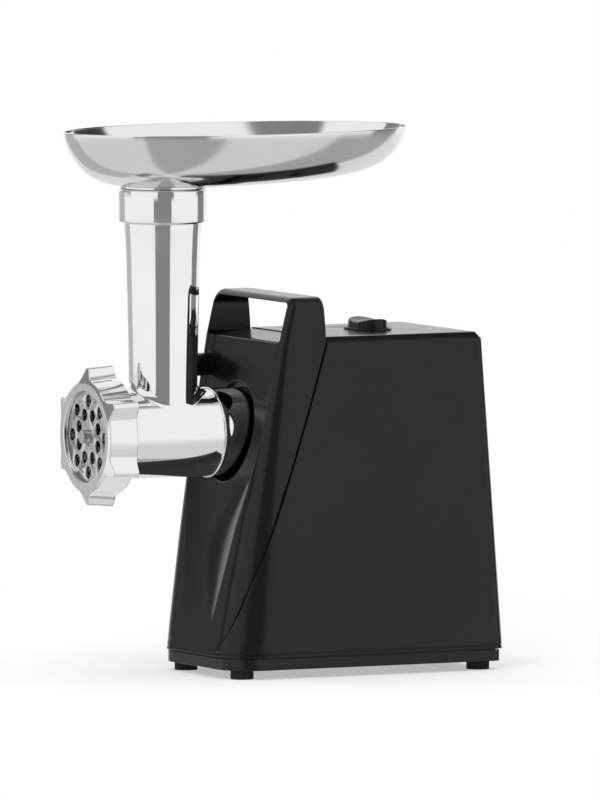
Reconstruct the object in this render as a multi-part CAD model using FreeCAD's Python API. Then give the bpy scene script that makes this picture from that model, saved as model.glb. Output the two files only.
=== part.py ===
# Electric meat grinder: a tapered plastic housing with a carrying handle, a polished
# metal grinding head that twists out of a socket in the front panel, and a lift-off tray.
# Millimetres, +Z up, floor at Z = 0.  The grinding axis runs along Y and the outlet faces -Y.
import FreeCAD, Part
import math
import os

V = FreeCAD.Vector
X_AXIS = V(1, 0, 0)
Y_AXIS = V(0, 1, 0)
Z_AXIS = V(0, 0, 1)

# Clearances
FIT = 0.1
RUNNING = 0.05
PRESS = 0.02
MOVING_GAP = 0.3

# Housing shell
BASE_HALF_WIDTH = 57.8
TOP_HALF_WIDTH = 56.4
REAR_BASE_Y = 144.0
REAR_TOP_Y = 127.6
FRONT_BASE_Y = -56.0
FRONT_TOP_Y = -18.3
SHELL_BOTTOM = 13.2
SHELL_TOP = 220.0
TOP_EDGE = 3.0
TOP_EDGE_INSET = 1.8
FRONT_CORNER_BASE = 25.0
FRONT_CORNER_TOP = 4.5
REAR_CORNER_BASE = 8.0
REAR_CORNER_TOP = 5.0
WALL = 2.8
FRONT_WALL = 6.5
SEAM_TOP_Y = 15.0
SEAM_MID_Y = -16.5
SEAM_MID_Z = 120.5
SEAM_FOOT_Z = 22.0
SEAM_GAP = 0.8
SEAM_LIP = 6.0

# Front cover: ledge, handle and recessed panel
LEDGE_Z = 218.0
LEDGE_THICK = 3.5
HANDLE_TOP = 247.0
HANDLE_CORNER = 8.0
HANDLE_LEG = 4.7
HANDLE_BAR = 3.4
HANDLE_WINDOW_CORNER = 3.6
HANDLE_FRONT_TOP_Y = -11.8
HANDLE_REAR_TOP_Y = 9.0
HANDLE_REAR_SHOULDER_Y = 11.4
HANDLE_REAR_SHOULDER_Z = 242.0
PANEL_RECESS = 3.0
PANEL_FADE_Z = 38.0
PANEL_TOP_HALF = 50.6
PANEL_BEND_Z = 175.0
PANEL_MID_HALF = 46.0
PANEL_MID_Z = 135.0
PANEL_LOW_HALF = 35.5
PANEL_LOW_Z = 98.6
PANEL_FOOT_HALF = 21.5

# Base plate, feet and base screws
BASE_INSET = 2.0
BASE_BOTTOM = 8.5
PEDESTAL_R = 22.0
FOOT_R = 7.5
FOOT_HEIGHT = 6.0
FOOT_PEG_R = 4.0
FOOT_SIDE_INSET = 17.5
FOOT_FRONT_INSET = 16.0
FOOT_REAR_INSET = 12.0
BASE_SCREW_SIDE_INSET = 7.0
BASE_SCREW_FRONT_INSET = 38.0
BASE_SCREW_REAR_INSET = 32.0
BASE_SCREW_R = 1.6
BASE_SCREW_HEAD_R = 3.4
BASE_SCREW_HEAD = 2.2
BASE_BOSS_R = 5.0
BASE_BOSS_TOP = 42.0
VENT_COUNT = 6
VENT_LENGTH = 44.0
VENT_WIDTH = 3.0
VENT_PITCH = 8.0
VENT_FIRST_Y = 2.0
CRADLE_HALF = 24.0
CRADLE_THICK = 5.0

# Grinding head
AXIS_Z = 157.7
BARREL_R = 28.5
BARREL_BORE_R = 25.0
BARREL_REAR_Y = -10.0
BARREL_REAR_WALL = 4.0
BARREL_FLANGE_R = 32.8
BARREL_FLANGE_REAR_Y = -112.0
BARREL_FRONT_Y = -128.0
BEAD_R = 29.4
BEAD_WIDTH = 1.6
BEAD_Y = -45.6
LUG_R = 31.8
LUG_LENGTH = 5.0
LUG_WIDTH = 14.0
TUBE_Y = -77.0
TUBE_FOOT_R = 22.0
TUBE_TOP_R = 25.0
TUBE_BORE_R = 19.5
THROAT_R = 20.3
THROAT_RISE = 1.2
SADDLE_R = 27.0
SADDLE_TOP_Z = 196.0
SADDLE_FOOT_Z = 181.0
COLLAR_R = 28.9
COLLAR_BOTTOM = 295.4
COLLAR_TOP = 317.5
COLLAR_EDGE = 1.6
COLLAR_BORE_R = 24.0
COLLAR_FLOOR = 2.0

# Hole plate, key, ring nut and knife
PLATE_R = 31.0
PLATE_THICK = 6.0
PLATE_SEAT = 3.0
PLATE_HOLE_R = 4.0
PLATE_RING_HOLES = 8
PLATE_OUTER_RING_R = 22.6
PLATE_INNER_RING_R = 13.2
PLATE_BORE_R = 4.6
KEY_R = 1.2
KEY_LENGTH = 8.0
NUT_LENGTH = 20.0
NUT_LOBES = 6
NUT_LOBE_SHARE = 0.12
NUT_TIP_R = 46.0
NUT_VALLEY_R = 38.6
NUT_FRONT_VALLEY_R = 38.2
NUT_TAPER = 1.0
NUT_LIP = 2.85
NUT_OPENING_R = 29.7
NUT_FACE_R = 35.5
NUT_FACE_TILT = math.radians(13.0)
KNIFE_R = 23.0
KNIFE_THICK = 6.0
KNIFE_ARM = 9.0
KNIFE_HUB_R = 10.0
KNIFE_ARMS = 4

# Auger
AUGER_FLIGHT_R = 24.0
AUGER_CORE_FRONT_R = 11.0
AUGER_CORE_REAR_R = 9.0
AUGER_PITCH = 29.0
AUGER_FLIGHT_THICK = 5.0
AUGER_FLIGHT_SINK = 1.0
AUGER_SHANK_R = 9.0
AUGER_SHOULDER_R = 15.0
AUGER_SHOULDER = 4.0
AUGER_SQUARE = 10.0
AUGER_PIN_R = 4.3
AUGER_PIN_OUT = 5.0
AUGER_HEX = 12.0
AUGER_HEX_LENGTH = 16.0
AUGER_HEX_ROOM = 1.0
WASHER_R = 16.0
WASHER_THICK = 2.0

# Tray
TRAY_FRONT_REACH = 67.0
TRAY_REAR_REACH = 172.2
TRAY_HALF_WIDTH = 71.0
TRAY_RIM_Z = 354.5
TRAY_FLOOR_Z = 318.7
TRAY_SHEET = 1.0
TRAY_FRONT_POWER = 3.9
TRAY_SIDE_POWER = 5.0
TRAY_REAR_POWER = 11.0
TRAY_SLOPE = 0.4
TRAY_SLOPE_POWER = 3.0
TRAY_CURL = 0.667
TRAY_STAGES = (0.3, 0.45, 0.58, 0.69, 0.78, 0.85, 0.9, 0.94, 0.97, 0.99, 1.0)
SPOUT_R = 23.7
SPOUT_WALL = 1.2
SPOUT_DEPTH = 20.0
SPOUT_FLANGE_R = 28.0
SPOUT_FLANGE = 1.0

# Socket in the front panel
SOCKET_R = 36.0
SOCKET_FRONT_Y = -19.5
SOCKET_LIP = 4.0
SOCKET_TWIST = 45.0
SOCKET_GROOVE_R = 32.3
SOCKET_STOP_R = 20.0
WELL_MOUTH_R = 32.2
WELL_WALL = 2.4
WELL_REAR_Y = -12.0

# Gear train: two stages, flat-flanked involute teeth
PRESSURE_ANGLE = math.radians(25.0)
ADDENDUM = 0.8
DEDENDUM = 1.1
BACKLASH = 0.16
FLANK_STEPS = 3
PINION_TEETH = 10
FIRST_TEETH = 70
FIRST_MODULE = 0.9
FIRST_WIDTH = 8.0
SECOND_PINION_TEETH = 10
SECOND_TEETH = 58
SECOND_MODULE = 1.5
SECOND_WIDTH = 14.0
GEAR_WEB_RIM = 7.0
GEAR_WEB_CUT = 4.0
GEAR_HUB_R = 17.0

# Gearbox
CASE_FRONT_Y = 2.0
CASE_FLOOR = 4.0
CASE_WALL = 2.6
CASE_ROOM = 1.4
GEAR_SIDE_GAP = 2.0
STAGE_GAP = 3.0
COVER_THICK = 4.0
BUSH_WALL = 3.0
FRONT_BUSH_LENGTH = 10.0
REAR_BUSH_LENGTH = 9.0
BOSS_WALL = 2.5
OUTPUT_R = 11.0
OUTPUT_JOURNAL_R = 8.0
AXLE_R = 3.0
SLEEVE_R = 5.5
EAR_R = 4.5
EAR_OFFSET = 1.5
EAR_ANGLES_TOP = (65.0, 115.0, 215.0, 325.0)
EAR_ANGLES_LOW = (185.0, 355.0)
GEARBOX_SCREW_R = 1.6
GEARBOX_SCREW_HEAD_R = 3.2
GEARBOX_SCREW_HEAD = 2.4
GEARBOX_SCREW_LENGTH = 24.0

# Motor
STATOR_HALF_X = 32.0
STATOR_HALF_Z = 28.0
STATOR_CORNER = 6.0
STATOR_LENGTH = 38.0
STATOR_BORE_R = 20.3
ARMATURE_R = 19.6
ARMATURE_SLOTS = 12
ARMATURE_SLOT_WIDTH = 2.4
ARMATURE_SLOT_DEPTH = 7.0
MOTOR_SHAFT_R = 4.0
PINION_SHAFT_R = 2.2
BRACKET_THICK = 4.0
BEARING_R = 9.5
BEARING_WIDTH = 7.0
BEARING_CUP_WALL = 2.5
FAN_R = 24.0
FAN_WIDTH = 7.0
FAN_DISC = 1.6
FAN_HUB_R = 8.0
FAN_BLADES = 14
FAN_BLADE = 1.2
FAN_GAP = 2.0
COIL_GAP = 0.9
COIL_R = 26.5
COIL_INNER_R = 20.9
COIL_END = 4.2
COIL_BAR = 4.6
COIL_SPAN = 60.0
WINDING_R = 16.8
WINDING_END = 4.6
COMMUTATOR_R = 10.0
COMMUTATOR_LENGTH = 12.0
COMMUTATOR_BARS = 24
COMMUTATOR_SLOT = 0.5
BRUSH_HALF = 3.0
BRUSH_WIDTH = 6.6
BRUSH_LENGTH = 13.5
HOLDER_WALL = 1.8
HOLDER_LENGTH = 15.0
MOTOR_BOLT_X = 27.0
MOTOR_BOLT_Z = 23.0
MOTOR_BOLT_R = 2.0
MOTOR_BOLT_HEAD_R = 3.6
MOTOR_BOLT_HEAD = 3.0

# Switch
SWITCH_Y = 72.0
BEZEL_HALF_X = 20.8
BEZEL_HALF_Y = 13.6
BEZEL_THICK = 1.2
ROCKER_HALF_X = 17.2
ROCKER_HALF_Y = 10.8
ROCKER_END_RISE = 7.1
ROCKER_MID_RISE = 4.9
ROCKER_SKIRT = 4.0
ROCKER_END_GAP = 1.4
ROCKER_SIDE_GAP = 0.4
ROCKER_PIVOT_DEPTH = 3.0
ROCKER_PIN_R = 1.3
ROCKER_PIN_OUT = 1.0
COLLAR_WALL = 1.4
SWITCH_COLLAR_DEPTH = 12.0
SWITCH_BODY_HEIGHT = 16.0
SWITCH_BODY_OVERLAP = 3.0

# Head lock
LOCK_X = -41.4
LOCK_Z = 198.6
LOCK_BUTTON_R = 7.5
LOCK_FRONT_Y = -37.0
LOCK_BUTTON_LENGTH = 25.0
LOCK_SPRING_LENGTH = 12.0
LOCK_STEM_R = 2.5
LOCK_GUIDE_R = 8.6
LOCK_GUIDE_OUT = 2.2
LOCK_GUIDE_FLOOR = 2.0
LOCK_CLIP_R = 4.0
LOCK_CLIP = 1.2
SPRING_R = 4.6
SPRING_WALL = 1.0

# Cord gland in the rear wall
GLAND_SIDE_INSET = 17.8
GLAND_Z = 60.0
GLAND_R = 6.0
GLAND_FLANGE_R = 9.0
GLAND_FLANGE = 2.0
GLAND_LENGTH = 14.0
GLAND_BORE_R = 3.6

# Places that follow from the sizes above
PLATE_FRONT_Y = BARREL_FRONT_Y - PLATE_THICK + PLATE_SEAT
PLATE_REAR_Y = PLATE_FRONT_Y + PLATE_THICK
NUT_FRONT_Y = PLATE_FRONT_Y - FIT - NUT_LIP
KNIFE_FRONT_Y = PLATE_REAR_Y + MOVING_GAP
KNIFE_REAR_Y = KNIFE_FRONT_Y + KNIFE_THICK
WASHER_REAR_Y = BARREL_REAR_Y - BARREL_REAR_WALL - MOVING_GAP
SHOULDER_REAR_Y = WASHER_REAR_Y - WASHER_THICK
SOCKET_GROOVE_Y = SOCKET_FRONT_Y + SOCKET_LIP
LUG_FRONT_Y = SOCKET_GROOVE_Y + MOVING_GAP
SOCKET_STOP_Y = BARREL_REAR_Y + MOVING_GAP
SECOND_Y = CASE_FRONT_Y + CASE_FLOOR + GEAR_SIDE_GAP
SECOND_END_Y = SECOND_Y + SECOND_WIDTH
FIRST_Y = SECOND_END_Y + STAGE_GAP
FIRST_END_Y = FIRST_Y + FIRST_WIDTH
COVER_Y = FIRST_END_Y + GEAR_SIDE_GAP
COVER_END_Y = COVER_Y + COVER_THICK
SECOND_CENTRES = SECOND_MODULE * (SECOND_PINION_TEETH + SECOND_TEETH) / 2
FIRST_CENTRES = FIRST_MODULE * (PINION_TEETH + FIRST_TEETH) / 2
MIDDLE_Z = AXIS_Z - SECOND_CENTRES
MOTOR_Z = MIDDLE_Z - FIRST_CENTRES
CASE_TOP_R = SECOND_MODULE * (SECOND_TEETH / 2 + ADDENDUM) + CASE_ROOM + CASE_WALL
CASE_LOW_R = FIRST_MODULE * (FIRST_TEETH / 2 + ADDENDUM) + CASE_ROOM + CASE_WALL
CASE_PINION_R = FIRST_MODULE * (PINION_TEETH / 2 + ADDENDUM) + CASE_ROOM + CASE_WALL
OUTPUT_FRONT_Y = BARREL_REAR_Y + MOVING_GAP + 2 * FIT
BRACKET_END_Y = COVER_END_Y + BRACKET_THICK
FRONT_BEARING_END_Y = BRACKET_END_Y + BEARING_WIDTH
FAN_Y = FRONT_BEARING_END_Y + FAN_GAP
COIL_Y = FAN_Y + FAN_WIDTH + COIL_GAP
STATOR_Y = COIL_Y + COIL_END
STATOR_END_Y = STATOR_Y + STATOR_LENGTH
WINDING_END_Y = STATOR_END_Y + WINDING_END
COMMUTATOR_Y = WINDING_END_Y + COIL_GAP
COMMUTATOR_END_Y = COMMUTATOR_Y + COMMUTATOR_LENGTH
REAR_BEARING_Y = COMMUTATOR_END_Y + COIL_GAP
REAR_BRACKET_Y = REAR_BEARING_Y + BEARING_WIDTH
REAR_BRACKET_END_Y = REAR_BRACKET_Y + BRACKET_THICK
ROCKER_PIVOT_Z = SHELL_TOP - ROCKER_PIVOT_DEPTH
BEZEL_TOP = SHELL_TOP + BEZEL_THICK
ROCKER_OPEN_X = ROCKER_HALF_X + ROCKER_END_GAP
ROCKER_OPEN_Y = ROCKER_HALF_Y + ROCKER_SIDE_GAP
LOCK_BUTTON_REAR_Y = LOCK_FRONT_Y + LOCK_BUTTON_LENGTH
LOCK_FLOOR_Y = LOCK_BUTTON_REAR_Y + LOCK_SPRING_LENGTH
FOOT_X = BASE_HALF_WIDTH - FOOT_SIDE_INSET
FOOT_FRONT_Y = FRONT_BASE_Y + FOOT_FRONT_INSET
FOOT_REAR_Y = REAR_BASE_Y - FOOT_REAR_INSET
BASE_SCREW_X = BASE_HALF_WIDTH - BASE_SCREW_SIDE_INSET
BASE_SCREW_YS = (FRONT_BASE_Y + BASE_SCREW_FRONT_INSET, REAR_BASE_Y - BASE_SCREW_REAR_INSET)
GLAND_X = GLAND_SIDE_INSET - BASE_HALF_WIDTH
FEET = {
    "foot_front_left": (-FOOT_X, FOOT_FRONT_Y),
    "foot_front_right": (FOOT_X, FOOT_FRONT_Y),
    "foot_rear_left": (-FOOT_X, FOOT_REAR_Y),
    "foot_rear_right": (FOOT_X, FOOT_REAR_Y),
}


# Basic shapes
def box(x0, x1, y0, y1, z0, z1):
    return Part.makeBox(x1 - x0, y1 - y0, z1 - z0, V(x0, y0, z0))


def rod_y(radius, y0, y1, x=0.0, z=AXIS_Z):
    return Part.makeCylinder(radius, y1 - y0, V(x, y0, z), Y_AXIS)


def ring_y(outer, inner, y0, y1, x=0.0, z=AXIS_Z):
    return rod_y(outer, y0, y1, x, z).cut(rod_y(inner, y0, y1, x, z))


def rod_z(radius, z0, z1, x=0.0, y=0.0):
    return Part.makeCylinder(radius, z1 - z0, V(x, y, z0), Z_AXIS)


def fuse_all(shapes):
    whole = shapes[0]
    for shape in shapes[1:]:
        whole = whole.fuse(shape)
    return whole.removeSplitter()


def cut_all(shape, tools):
    for tool in tools:
        shape = shape.cut(tool)
    return shape


def polygon_prism(points, direction):
    return Part.Face(Part.makePolygon(points + [points[0]])).extrude(direction)


def turned(shape, angle, x, z):
    """A copy of a shape turned about a line along Y."""
    copy = shape.copy()
    copy.rotate(V(x, 0, z), Y_AXIS, angle)
    return copy


def hex_y(across_flats, y0, y1, z=AXIS_Z):
    radius = across_flats / math.sqrt(3.0)
    corners = [math.radians(60.0 * i) for i in range(6)]
    points = [V(radius * math.cos(a), y0, z + radius * math.sin(a)) for a in corners]
    return polygon_prism(points, Y_AXIS * (y1 - y0))


def square_y(side, y0, y1, z=AXIS_Z):
    return box(-side / 2, side / 2, y0, y1, z - side / 2, z + side / 2)


def rounded_section(half_x, front_y, rear_y, front_r, rear_r, z):
    """Closed wire at height z, with its own corner radius at the front and at the rear."""
    slack = 1.0 - math.sqrt(0.5)
    f = front_r * slack
    r = rear_r * slack
    edges = [
        Part.makeLine(V(-half_x + front_r, front_y, z), V(half_x - front_r, front_y, z)),
        Part.Arc(V(half_x - front_r, front_y, z), V(half_x - f, front_y + f, z),
                 V(half_x, front_y + front_r, z)).toShape(),
        Part.makeLine(V(half_x, front_y + front_r, z), V(half_x, rear_y - rear_r, z)),
        Part.Arc(V(half_x, rear_y - rear_r, z), V(half_x - r, rear_y - r, z),
                 V(half_x - rear_r, rear_y, z)).toShape(),
        Part.makeLine(V(half_x - rear_r, rear_y, z), V(-half_x + rear_r, rear_y, z)),
        Part.Arc(V(-half_x + rear_r, rear_y, z), V(-half_x + r, rear_y - r, z),
                 V(-half_x, rear_y - rear_r, z)).toShape(),
        Part.makeLine(V(-half_x, rear_y - rear_r, z), V(-half_x, front_y + front_r, z)),
        Part.Arc(V(-half_x, front_y + front_r, z), V(-half_x + f, front_y + f, z),
                 V(-half_x + front_r, front_y, z)).toShape(),
    ]
    return Part.Wire(edges)


def oval_prism(half_x, half_y, z0, z1, y=SWITCH_Y):
    """An oval with straight sides along X and half-round ends."""
    section = rounded_section(half_x, y - half_y, y + half_y, half_y - FIT, half_y - FIT, z0)
    return Part.Face(section).extrude(V(0, 0, z1 - z0))


# Housing
def along(low, high, z):
    """A size that changes evenly from the foot of the shell to its top."""
    return low + (high - low) * (z - SHELL_BOTTOM) / (SHELL_TOP - SHELL_BOTTOM)


def front_y(z):
    return along(FRONT_BASE_Y, FRONT_TOP_Y, z)


def shell_section(z, inset, front_inset):
    return rounded_section(
        along(BASE_HALF_WIDTH, TOP_HALF_WIDTH, z) - inset,
        front_y(z) + front_inset,
        along(REAR_BASE_Y, REAR_TOP_Y, z) - inset,
        max(along(FRONT_CORNER_BASE, FRONT_CORNER_TOP, z) - inset, FIT),
        max(along(REAR_CORNER_BASE, REAR_CORNER_TOP, z) - inset, FIT),
        z)


def shell_block(inset, front_inset, top):
    return Part.makeLoft([shell_section(SHELL_BOTTOM, inset, front_inset),
                          shell_section(top, inset, front_inset)], True, True)


def outer_block():
    shoulder = SHELL_TOP - TOP_EDGE
    cap = Part.makeLoft([shell_section(shoulder, 0.0, 0.0),
                         shell_section(SHELL_TOP, TOP_EDGE_INSET, TOP_EDGE_INSET)], True, True)
    return shell_block(0.0, 0.0, shoulder).fuse(cap).removeSplitter()


def seam_region(shift):
    """Everything in front of the slanted seam, moved back by shift."""
    half = 2 * BASE_HALF_WIDTH
    far_y = 4 * FRONT_BASE_Y
    top = HANDLE_TOP + HANDLE_CORNER
    arc = Part.Arc(V(-half, SEAM_TOP_Y + shift, SHELL_TOP), V(-half, SEAM_MID_Y + shift, SEAM_MID_Z),
                   V(-half, front_y(SEAM_FOOT_Z) + shift, SEAM_FOOT_Z)).toShape()
    corners = [V(-half, front_y(SEAM_FOOT_Z) + shift, SEAM_FOOT_Z), V(-half, far_y, SEAM_FOOT_Z),
               V(-half, far_y, top), V(-half, SEAM_TOP_Y + shift, top),
               V(-half, SEAM_TOP_Y + shift, SHELL_TOP)]
    wire = Part.Wire([arc] + Part.makePolygon(corners).Edges)
    return Part.Face(wire).extrude(V(2 * half, 0, 0))


def lip_band(shift):
    """The strip in front of the seam that the housing's inner lip fills."""
    band = seam_region(0.0).cut(seam_region(-SEAM_LIP - shift))
    keep = box(-BASE_HALF_WIDTH, BASE_HALF_WIDTH, FRONT_BASE_Y + FRONT_CORNER_BASE, REAR_BASE_Y,
               SHELL_BOTTOM, LEDGE_Z - LEDGE_THICK - SEAM_LIP + shift)
    return band.common(keep)


def inner_block(inset):
    return shell_block(inset, FRONT_WALL, SHELL_TOP - WALL)


def base_screw_places():
    return [(x, y) for x in (-BASE_SCREW_X, BASE_SCREW_X) for y in BASE_SCREW_YS]


def gland_wall_y():
    return along(REAR_BASE_Y, REAR_TOP_Y, GLAND_Z)


def rear_housing():
    outer = outer_block()
    inner = inner_block(WALL)
    shell = outer.cut(inner).cut(seam_region(0.0))
    lip = inner_block(WALL / 2).cut(inner).common(lip_band(0.0))
    places = base_screw_places()
    bosses = [rod_z(BASE_BOSS_R, SHELL_BOTTOM, BASE_BOSS_TOP, x, y).common(outer) for x, y in places]
    body = fuse_all([shell, lip] + bosses)
    pilots = [rod_z(BASE_SCREW_R + PRESS, SHELL_BOTTOM, BASE_BOSS_TOP, x, y) for x, y in places]
    switch_hole = oval_prism(ROCKER_OPEN_X + COLLAR_WALL + FIT, ROCKER_OPEN_Y + COLLAR_WALL + FIT,
                             SHELL_TOP - 2 * WALL, BEZEL_TOP)
    wall_y = gland_wall_y()
    gland_hole = rod_y(GLAND_R + FIT, wall_y - 4 * WALL, wall_y + 4 * WALL, GLAND_X, GLAND_Z)
    return cut_all(body, pilots + [switch_hole, gland_hole])


def handle():
    """A flat strap bent to an arch, leaning slightly forward."""
    half = TOP_HALF_WIDTH
    depth = Y_AXIS * (SEAM_TOP_Y - SEAM_GAP - front_y(LEDGE_Z))
    start_y = front_y(LEDGE_Z)
    foot_z = LEDGE_Z - LEDGE_THICK
    outer = arch_prism(half, HANDLE_TOP, HANDLE_CORNER, start_y, foot_z, depth)
    window = arch_prism(half - HANDLE_LEG, HANDLE_TOP - HANDLE_BAR, HANDLE_WINDOW_CORNER,
                        start_y, foot_z, depth)
    side = [V(-half, front_y(LEDGE_Z), foot_z), V(-half, front_y(LEDGE_Z), LEDGE_Z),
            V(-half, HANDLE_FRONT_TOP_Y, HANDLE_TOP), V(-half, HANDLE_REAR_TOP_Y, HANDLE_TOP),
            V(-half, HANDLE_REAR_SHOULDER_Y, HANDLE_REAR_SHOULDER_Z),
            V(-half, SEAM_TOP_Y - SEAM_GAP, SHELL_TOP), V(-half, SEAM_TOP_Y - SEAM_GAP, foot_z)]
    lean = polygon_prism(side, X_AXIS * (2 * half))
    return outer.cut(window).common(lean).common(seam_region(-SEAM_GAP))


def arch_prism(half, top, corner, y, foot_z, depth):
    slack = corner * (1.0 - math.sqrt(0.5))
    edges = [
        Part.makeLine(V(-half, y, foot_z), V(-half, y, top - corner)),
        Part.Arc(V(-half, y, top - corner), V(-half + slack, y, top - slack),
                 V(-half + corner, y, top)).toShape(),
        Part.makeLine(V(-half + corner, y, top), V(half - corner, y, top)),
        Part.Arc(V(half - corner, y, top), V(half - slack, y, top - slack),
                 V(half, y, top - corner)).toShape(),
        Part.makeLine(V(half, y, top - corner), V(half, y, foot_z)),
        Part.makeLine(V(half, y, foot_z), V(-half, y, foot_z)),
    ]
    return Part.Face(Part.Wire(edges)).extrude(depth)


def panel_y(z):
    """Front surface of the recessed panel on the centre line."""
    share = (z - PANEL_FADE_Z) / (LEDGE_Z - PANEL_FADE_Z)
    return front_y(z) + PANEL_RECESS * share


def panel_cut():
    """The space in front of the recessed panel, which fades out towards the foot."""
    far_y = 2 * FRONT_BASE_Y
    half = PANEL_TOP_HALF
    top = SHELL_TOP + HANDLE_CORNER
    side = [V(-half, panel_y(PANEL_FADE_Z), PANEL_FADE_Z), V(-half, panel_y(top), top),
            V(-half, far_y, top), V(-half, far_y, PANEL_FADE_Z)]
    right = Part.Arc(V(PANEL_TOP_HALF, far_y, PANEL_BEND_Z), V(PANEL_MID_HALF, far_y, PANEL_MID_Z),
                     V(PANEL_LOW_HALF, far_y, PANEL_LOW_Z)).toShape()
    left = Part.Arc(V(-PANEL_LOW_HALF, far_y, PANEL_LOW_Z), V(-PANEL_MID_HALF, far_y, PANEL_MID_Z),
                    V(-PANEL_TOP_HALF, far_y, PANEL_BEND_Z)).toShape()
    foot = Part.makePolygon([
        V(PANEL_LOW_HALF, far_y, PANEL_LOW_Z), V(PANEL_FOOT_HALF, far_y, PANEL_FADE_Z),
        V(-PANEL_FOOT_HALF, far_y, PANEL_FADE_Z), V(-PANEL_LOW_HALF, far_y, PANEL_LOW_Z)])
    crown = Part.makePolygon([V(-half, far_y, PANEL_BEND_Z), V(-half, far_y, LEDGE_Z),
                              V(half, far_y, LEDGE_Z), V(half, far_y, PANEL_BEND_Z)])
    outline = Part.Face(Part.Wire([right] + foot.Edges + [left] + crown.Edges))
    return outline.extrude(V(0, -far_y, 0)).common(polygon_prism(side, X_AXIS * (2 * half)))


def front_cover():
    outer = outer_block()
    region = seam_region(-SEAM_GAP)
    shell = outer.cut(inner_block(WALL)).common(region)
    shell = shell.cut(inner_block(WALL / 2 - FIT).common(lip_band(FIT)))
    ledge = outer.common(region).common(box(-BASE_HALF_WIDTH, BASE_HALF_WIDTH, FRONT_BASE_Y, SEAM_TOP_Y,
                                            LEDGE_Z - LEDGE_THICK, LEDGE_Z))
    above = box(-BASE_HALF_WIDTH, BASE_HALF_WIDTH, FRONT_BASE_Y, REAR_BASE_Y,
                LEDGE_Z, SHELL_TOP + TOP_EDGE)
    well = rod_y(SOCKET_R + FIT + WELL_WALL, FRONT_BASE_Y, WELL_REAR_Y).common(outer)
    cover = fuse_all([shell.cut(above), ledge, well, handle()])
    mouth = rod_y(WELL_MOUTH_R, 2 * FRONT_BASE_Y, CASE_FRONT_Y)
    pocket = rod_y(SOCKET_R + FIT, SOCKET_FRONT_Y - FIT, CASE_FRONT_Y)
    lock_hole = rod_y(LOCK_GUIDE_R + FIT, 2 * FRONT_BASE_Y, CASE_FRONT_Y, LOCK_X, LOCK_Z)
    return cut_all(cover, [panel_cut(), mouth, pocket, lock_hole])


def base_plate():
    outline = rounded_section(
        BASE_HALF_WIDTH - BASE_INSET, FRONT_BASE_Y + BASE_INSET, REAR_BASE_Y - BASE_INSET,
        FRONT_CORNER_BASE - BASE_INSET, REAR_CORNER_BASE - BASE_INSET, FOOT_HEIGHT)
    block = Part.Face(outline).extrude(V(0, 0, SHELL_BOTTOM - FOOT_HEIGHT))
    slab = block.common(box(-BASE_HALF_WIDTH, BASE_HALF_WIDTH, FRONT_BASE_Y, REAR_BASE_Y,
                            BASE_BOTTOM, SHELL_BOTTOM))
    pedestals = [rod_z(PEDESTAL_R, FOOT_HEIGHT, BASE_BOTTOM, x, y).common(block)
                 for x, y in FEET.values()]
    cradles = [box(-CRADLE_HALF, CRADLE_HALF, y - CRADLE_THICK / 2, y + CRADLE_THICK / 2,
                   SHELL_BOTTOM, MOTOR_Z - STATOR_HALF_Z) for y in cradle_places()]
    plate = fuse_all([slab] + pedestals + cradles)
    pegs = [rod_z(FOOT_PEG_R + FIT, FOOT_HEIGHT, SHELL_BOTTOM, x, y) for x, y in FEET.values()]
    return cut_all(plate, pegs + base_screw_holes() + vent_slots())


def cradle_places():
    return (STATOR_Y + CRADLE_THICK, STATOR_END_Y - CRADLE_THICK)


def base_screw_holes():
    holes = []
    for x, y in base_screw_places():
        holes.append(rod_z(BASE_SCREW_R + FIT, FOOT_HEIGHT, SHELL_BOTTOM, x, y))
        holes.append(rod_z(BASE_SCREW_HEAD_R + FIT, FOOT_HEIGHT, BASE_BOTTOM + BASE_SCREW_HEAD, x, y))
    return holes


def vent_slots():
    half = VENT_LENGTH / 2
    starts = [VENT_FIRST_Y + VENT_PITCH * i for i in range(VENT_COUNT)]
    return [box(-half, half, y, y + VENT_WIDTH, BASE_BOTTOM, SHELL_BOTTOM) for y in starts]


def foot(x, y):
    pad = rod_z(FOOT_R, 0.0, FOOT_HEIGHT, x, y)
    return pad.fuse(rod_z(FOOT_PEG_R, FOOT_HEIGHT, SHELL_BOTTOM, x, y)).removeSplitter()


def base_screws():
    screws = []
    for x, y in base_screw_places():
        head = rod_z(BASE_SCREW_HEAD_R, BASE_BOTTOM, BASE_BOTTOM + BASE_SCREW_HEAD, x, y)
        shank = rod_z(BASE_SCREW_R, BASE_BOTTOM, BASE_BOSS_TOP - WALL, x, y)
        screws.append(head.fuse(shank).removeSplitter())
    return Part.makeCompound(screws)


# Grinding head
def grinder_head():
    barrel = rod_y(BARREL_R, BARREL_FRONT_Y, BARREL_REAR_Y)
    flange = rod_y(BARREL_FLANGE_R, BARREL_FRONT_Y, BARREL_FLANGE_REAR_Y)
    bead = rod_y(BEAD_R, BEAD_Y - BEAD_WIDTH / 2, BEAD_Y + BEAD_WIDTH / 2)
    lug = box(-LUG_R, LUG_R, LUG_FRONT_Y, LUG_FRONT_Y + LUG_LENGTH,
              AXIS_Z - LUG_WIDTH / 2, AXIS_Z + LUG_WIDTH / 2)
    lugs = lug.common(rod_y(LUG_R, LUG_FRONT_Y, BARREL_REAR_Y))
    tube = Part.makeCone(TUBE_FOOT_R, TUBE_TOP_R, COLLAR_BOTTOM - AXIS_Z, V(0, TUBE_Y, AXIS_Z), Z_AXIS)
    saddle = Part.makeCone(SADDLE_R, TUBE_FOOT_R, SADDLE_TOP_Z - SADDLE_FOOT_Z,
                           V(0, TUBE_Y, SADDLE_FOOT_Z), Z_AXIS)
    collar = rod_z(COLLAR_R, COLLAR_BOTTOM, COLLAR_TOP, 0.0, TUBE_Y)
    collar = collar.makeFillet(COLLAR_EDGE, [e for e in collar.Edges if e.BoundBox.ZMin > COLLAR_TOP - FIT])
    casting = fuse_all([barrel, flange, bead, lugs, tube, saddle, collar])
    return cut_all(casting, head_bores())


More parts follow.
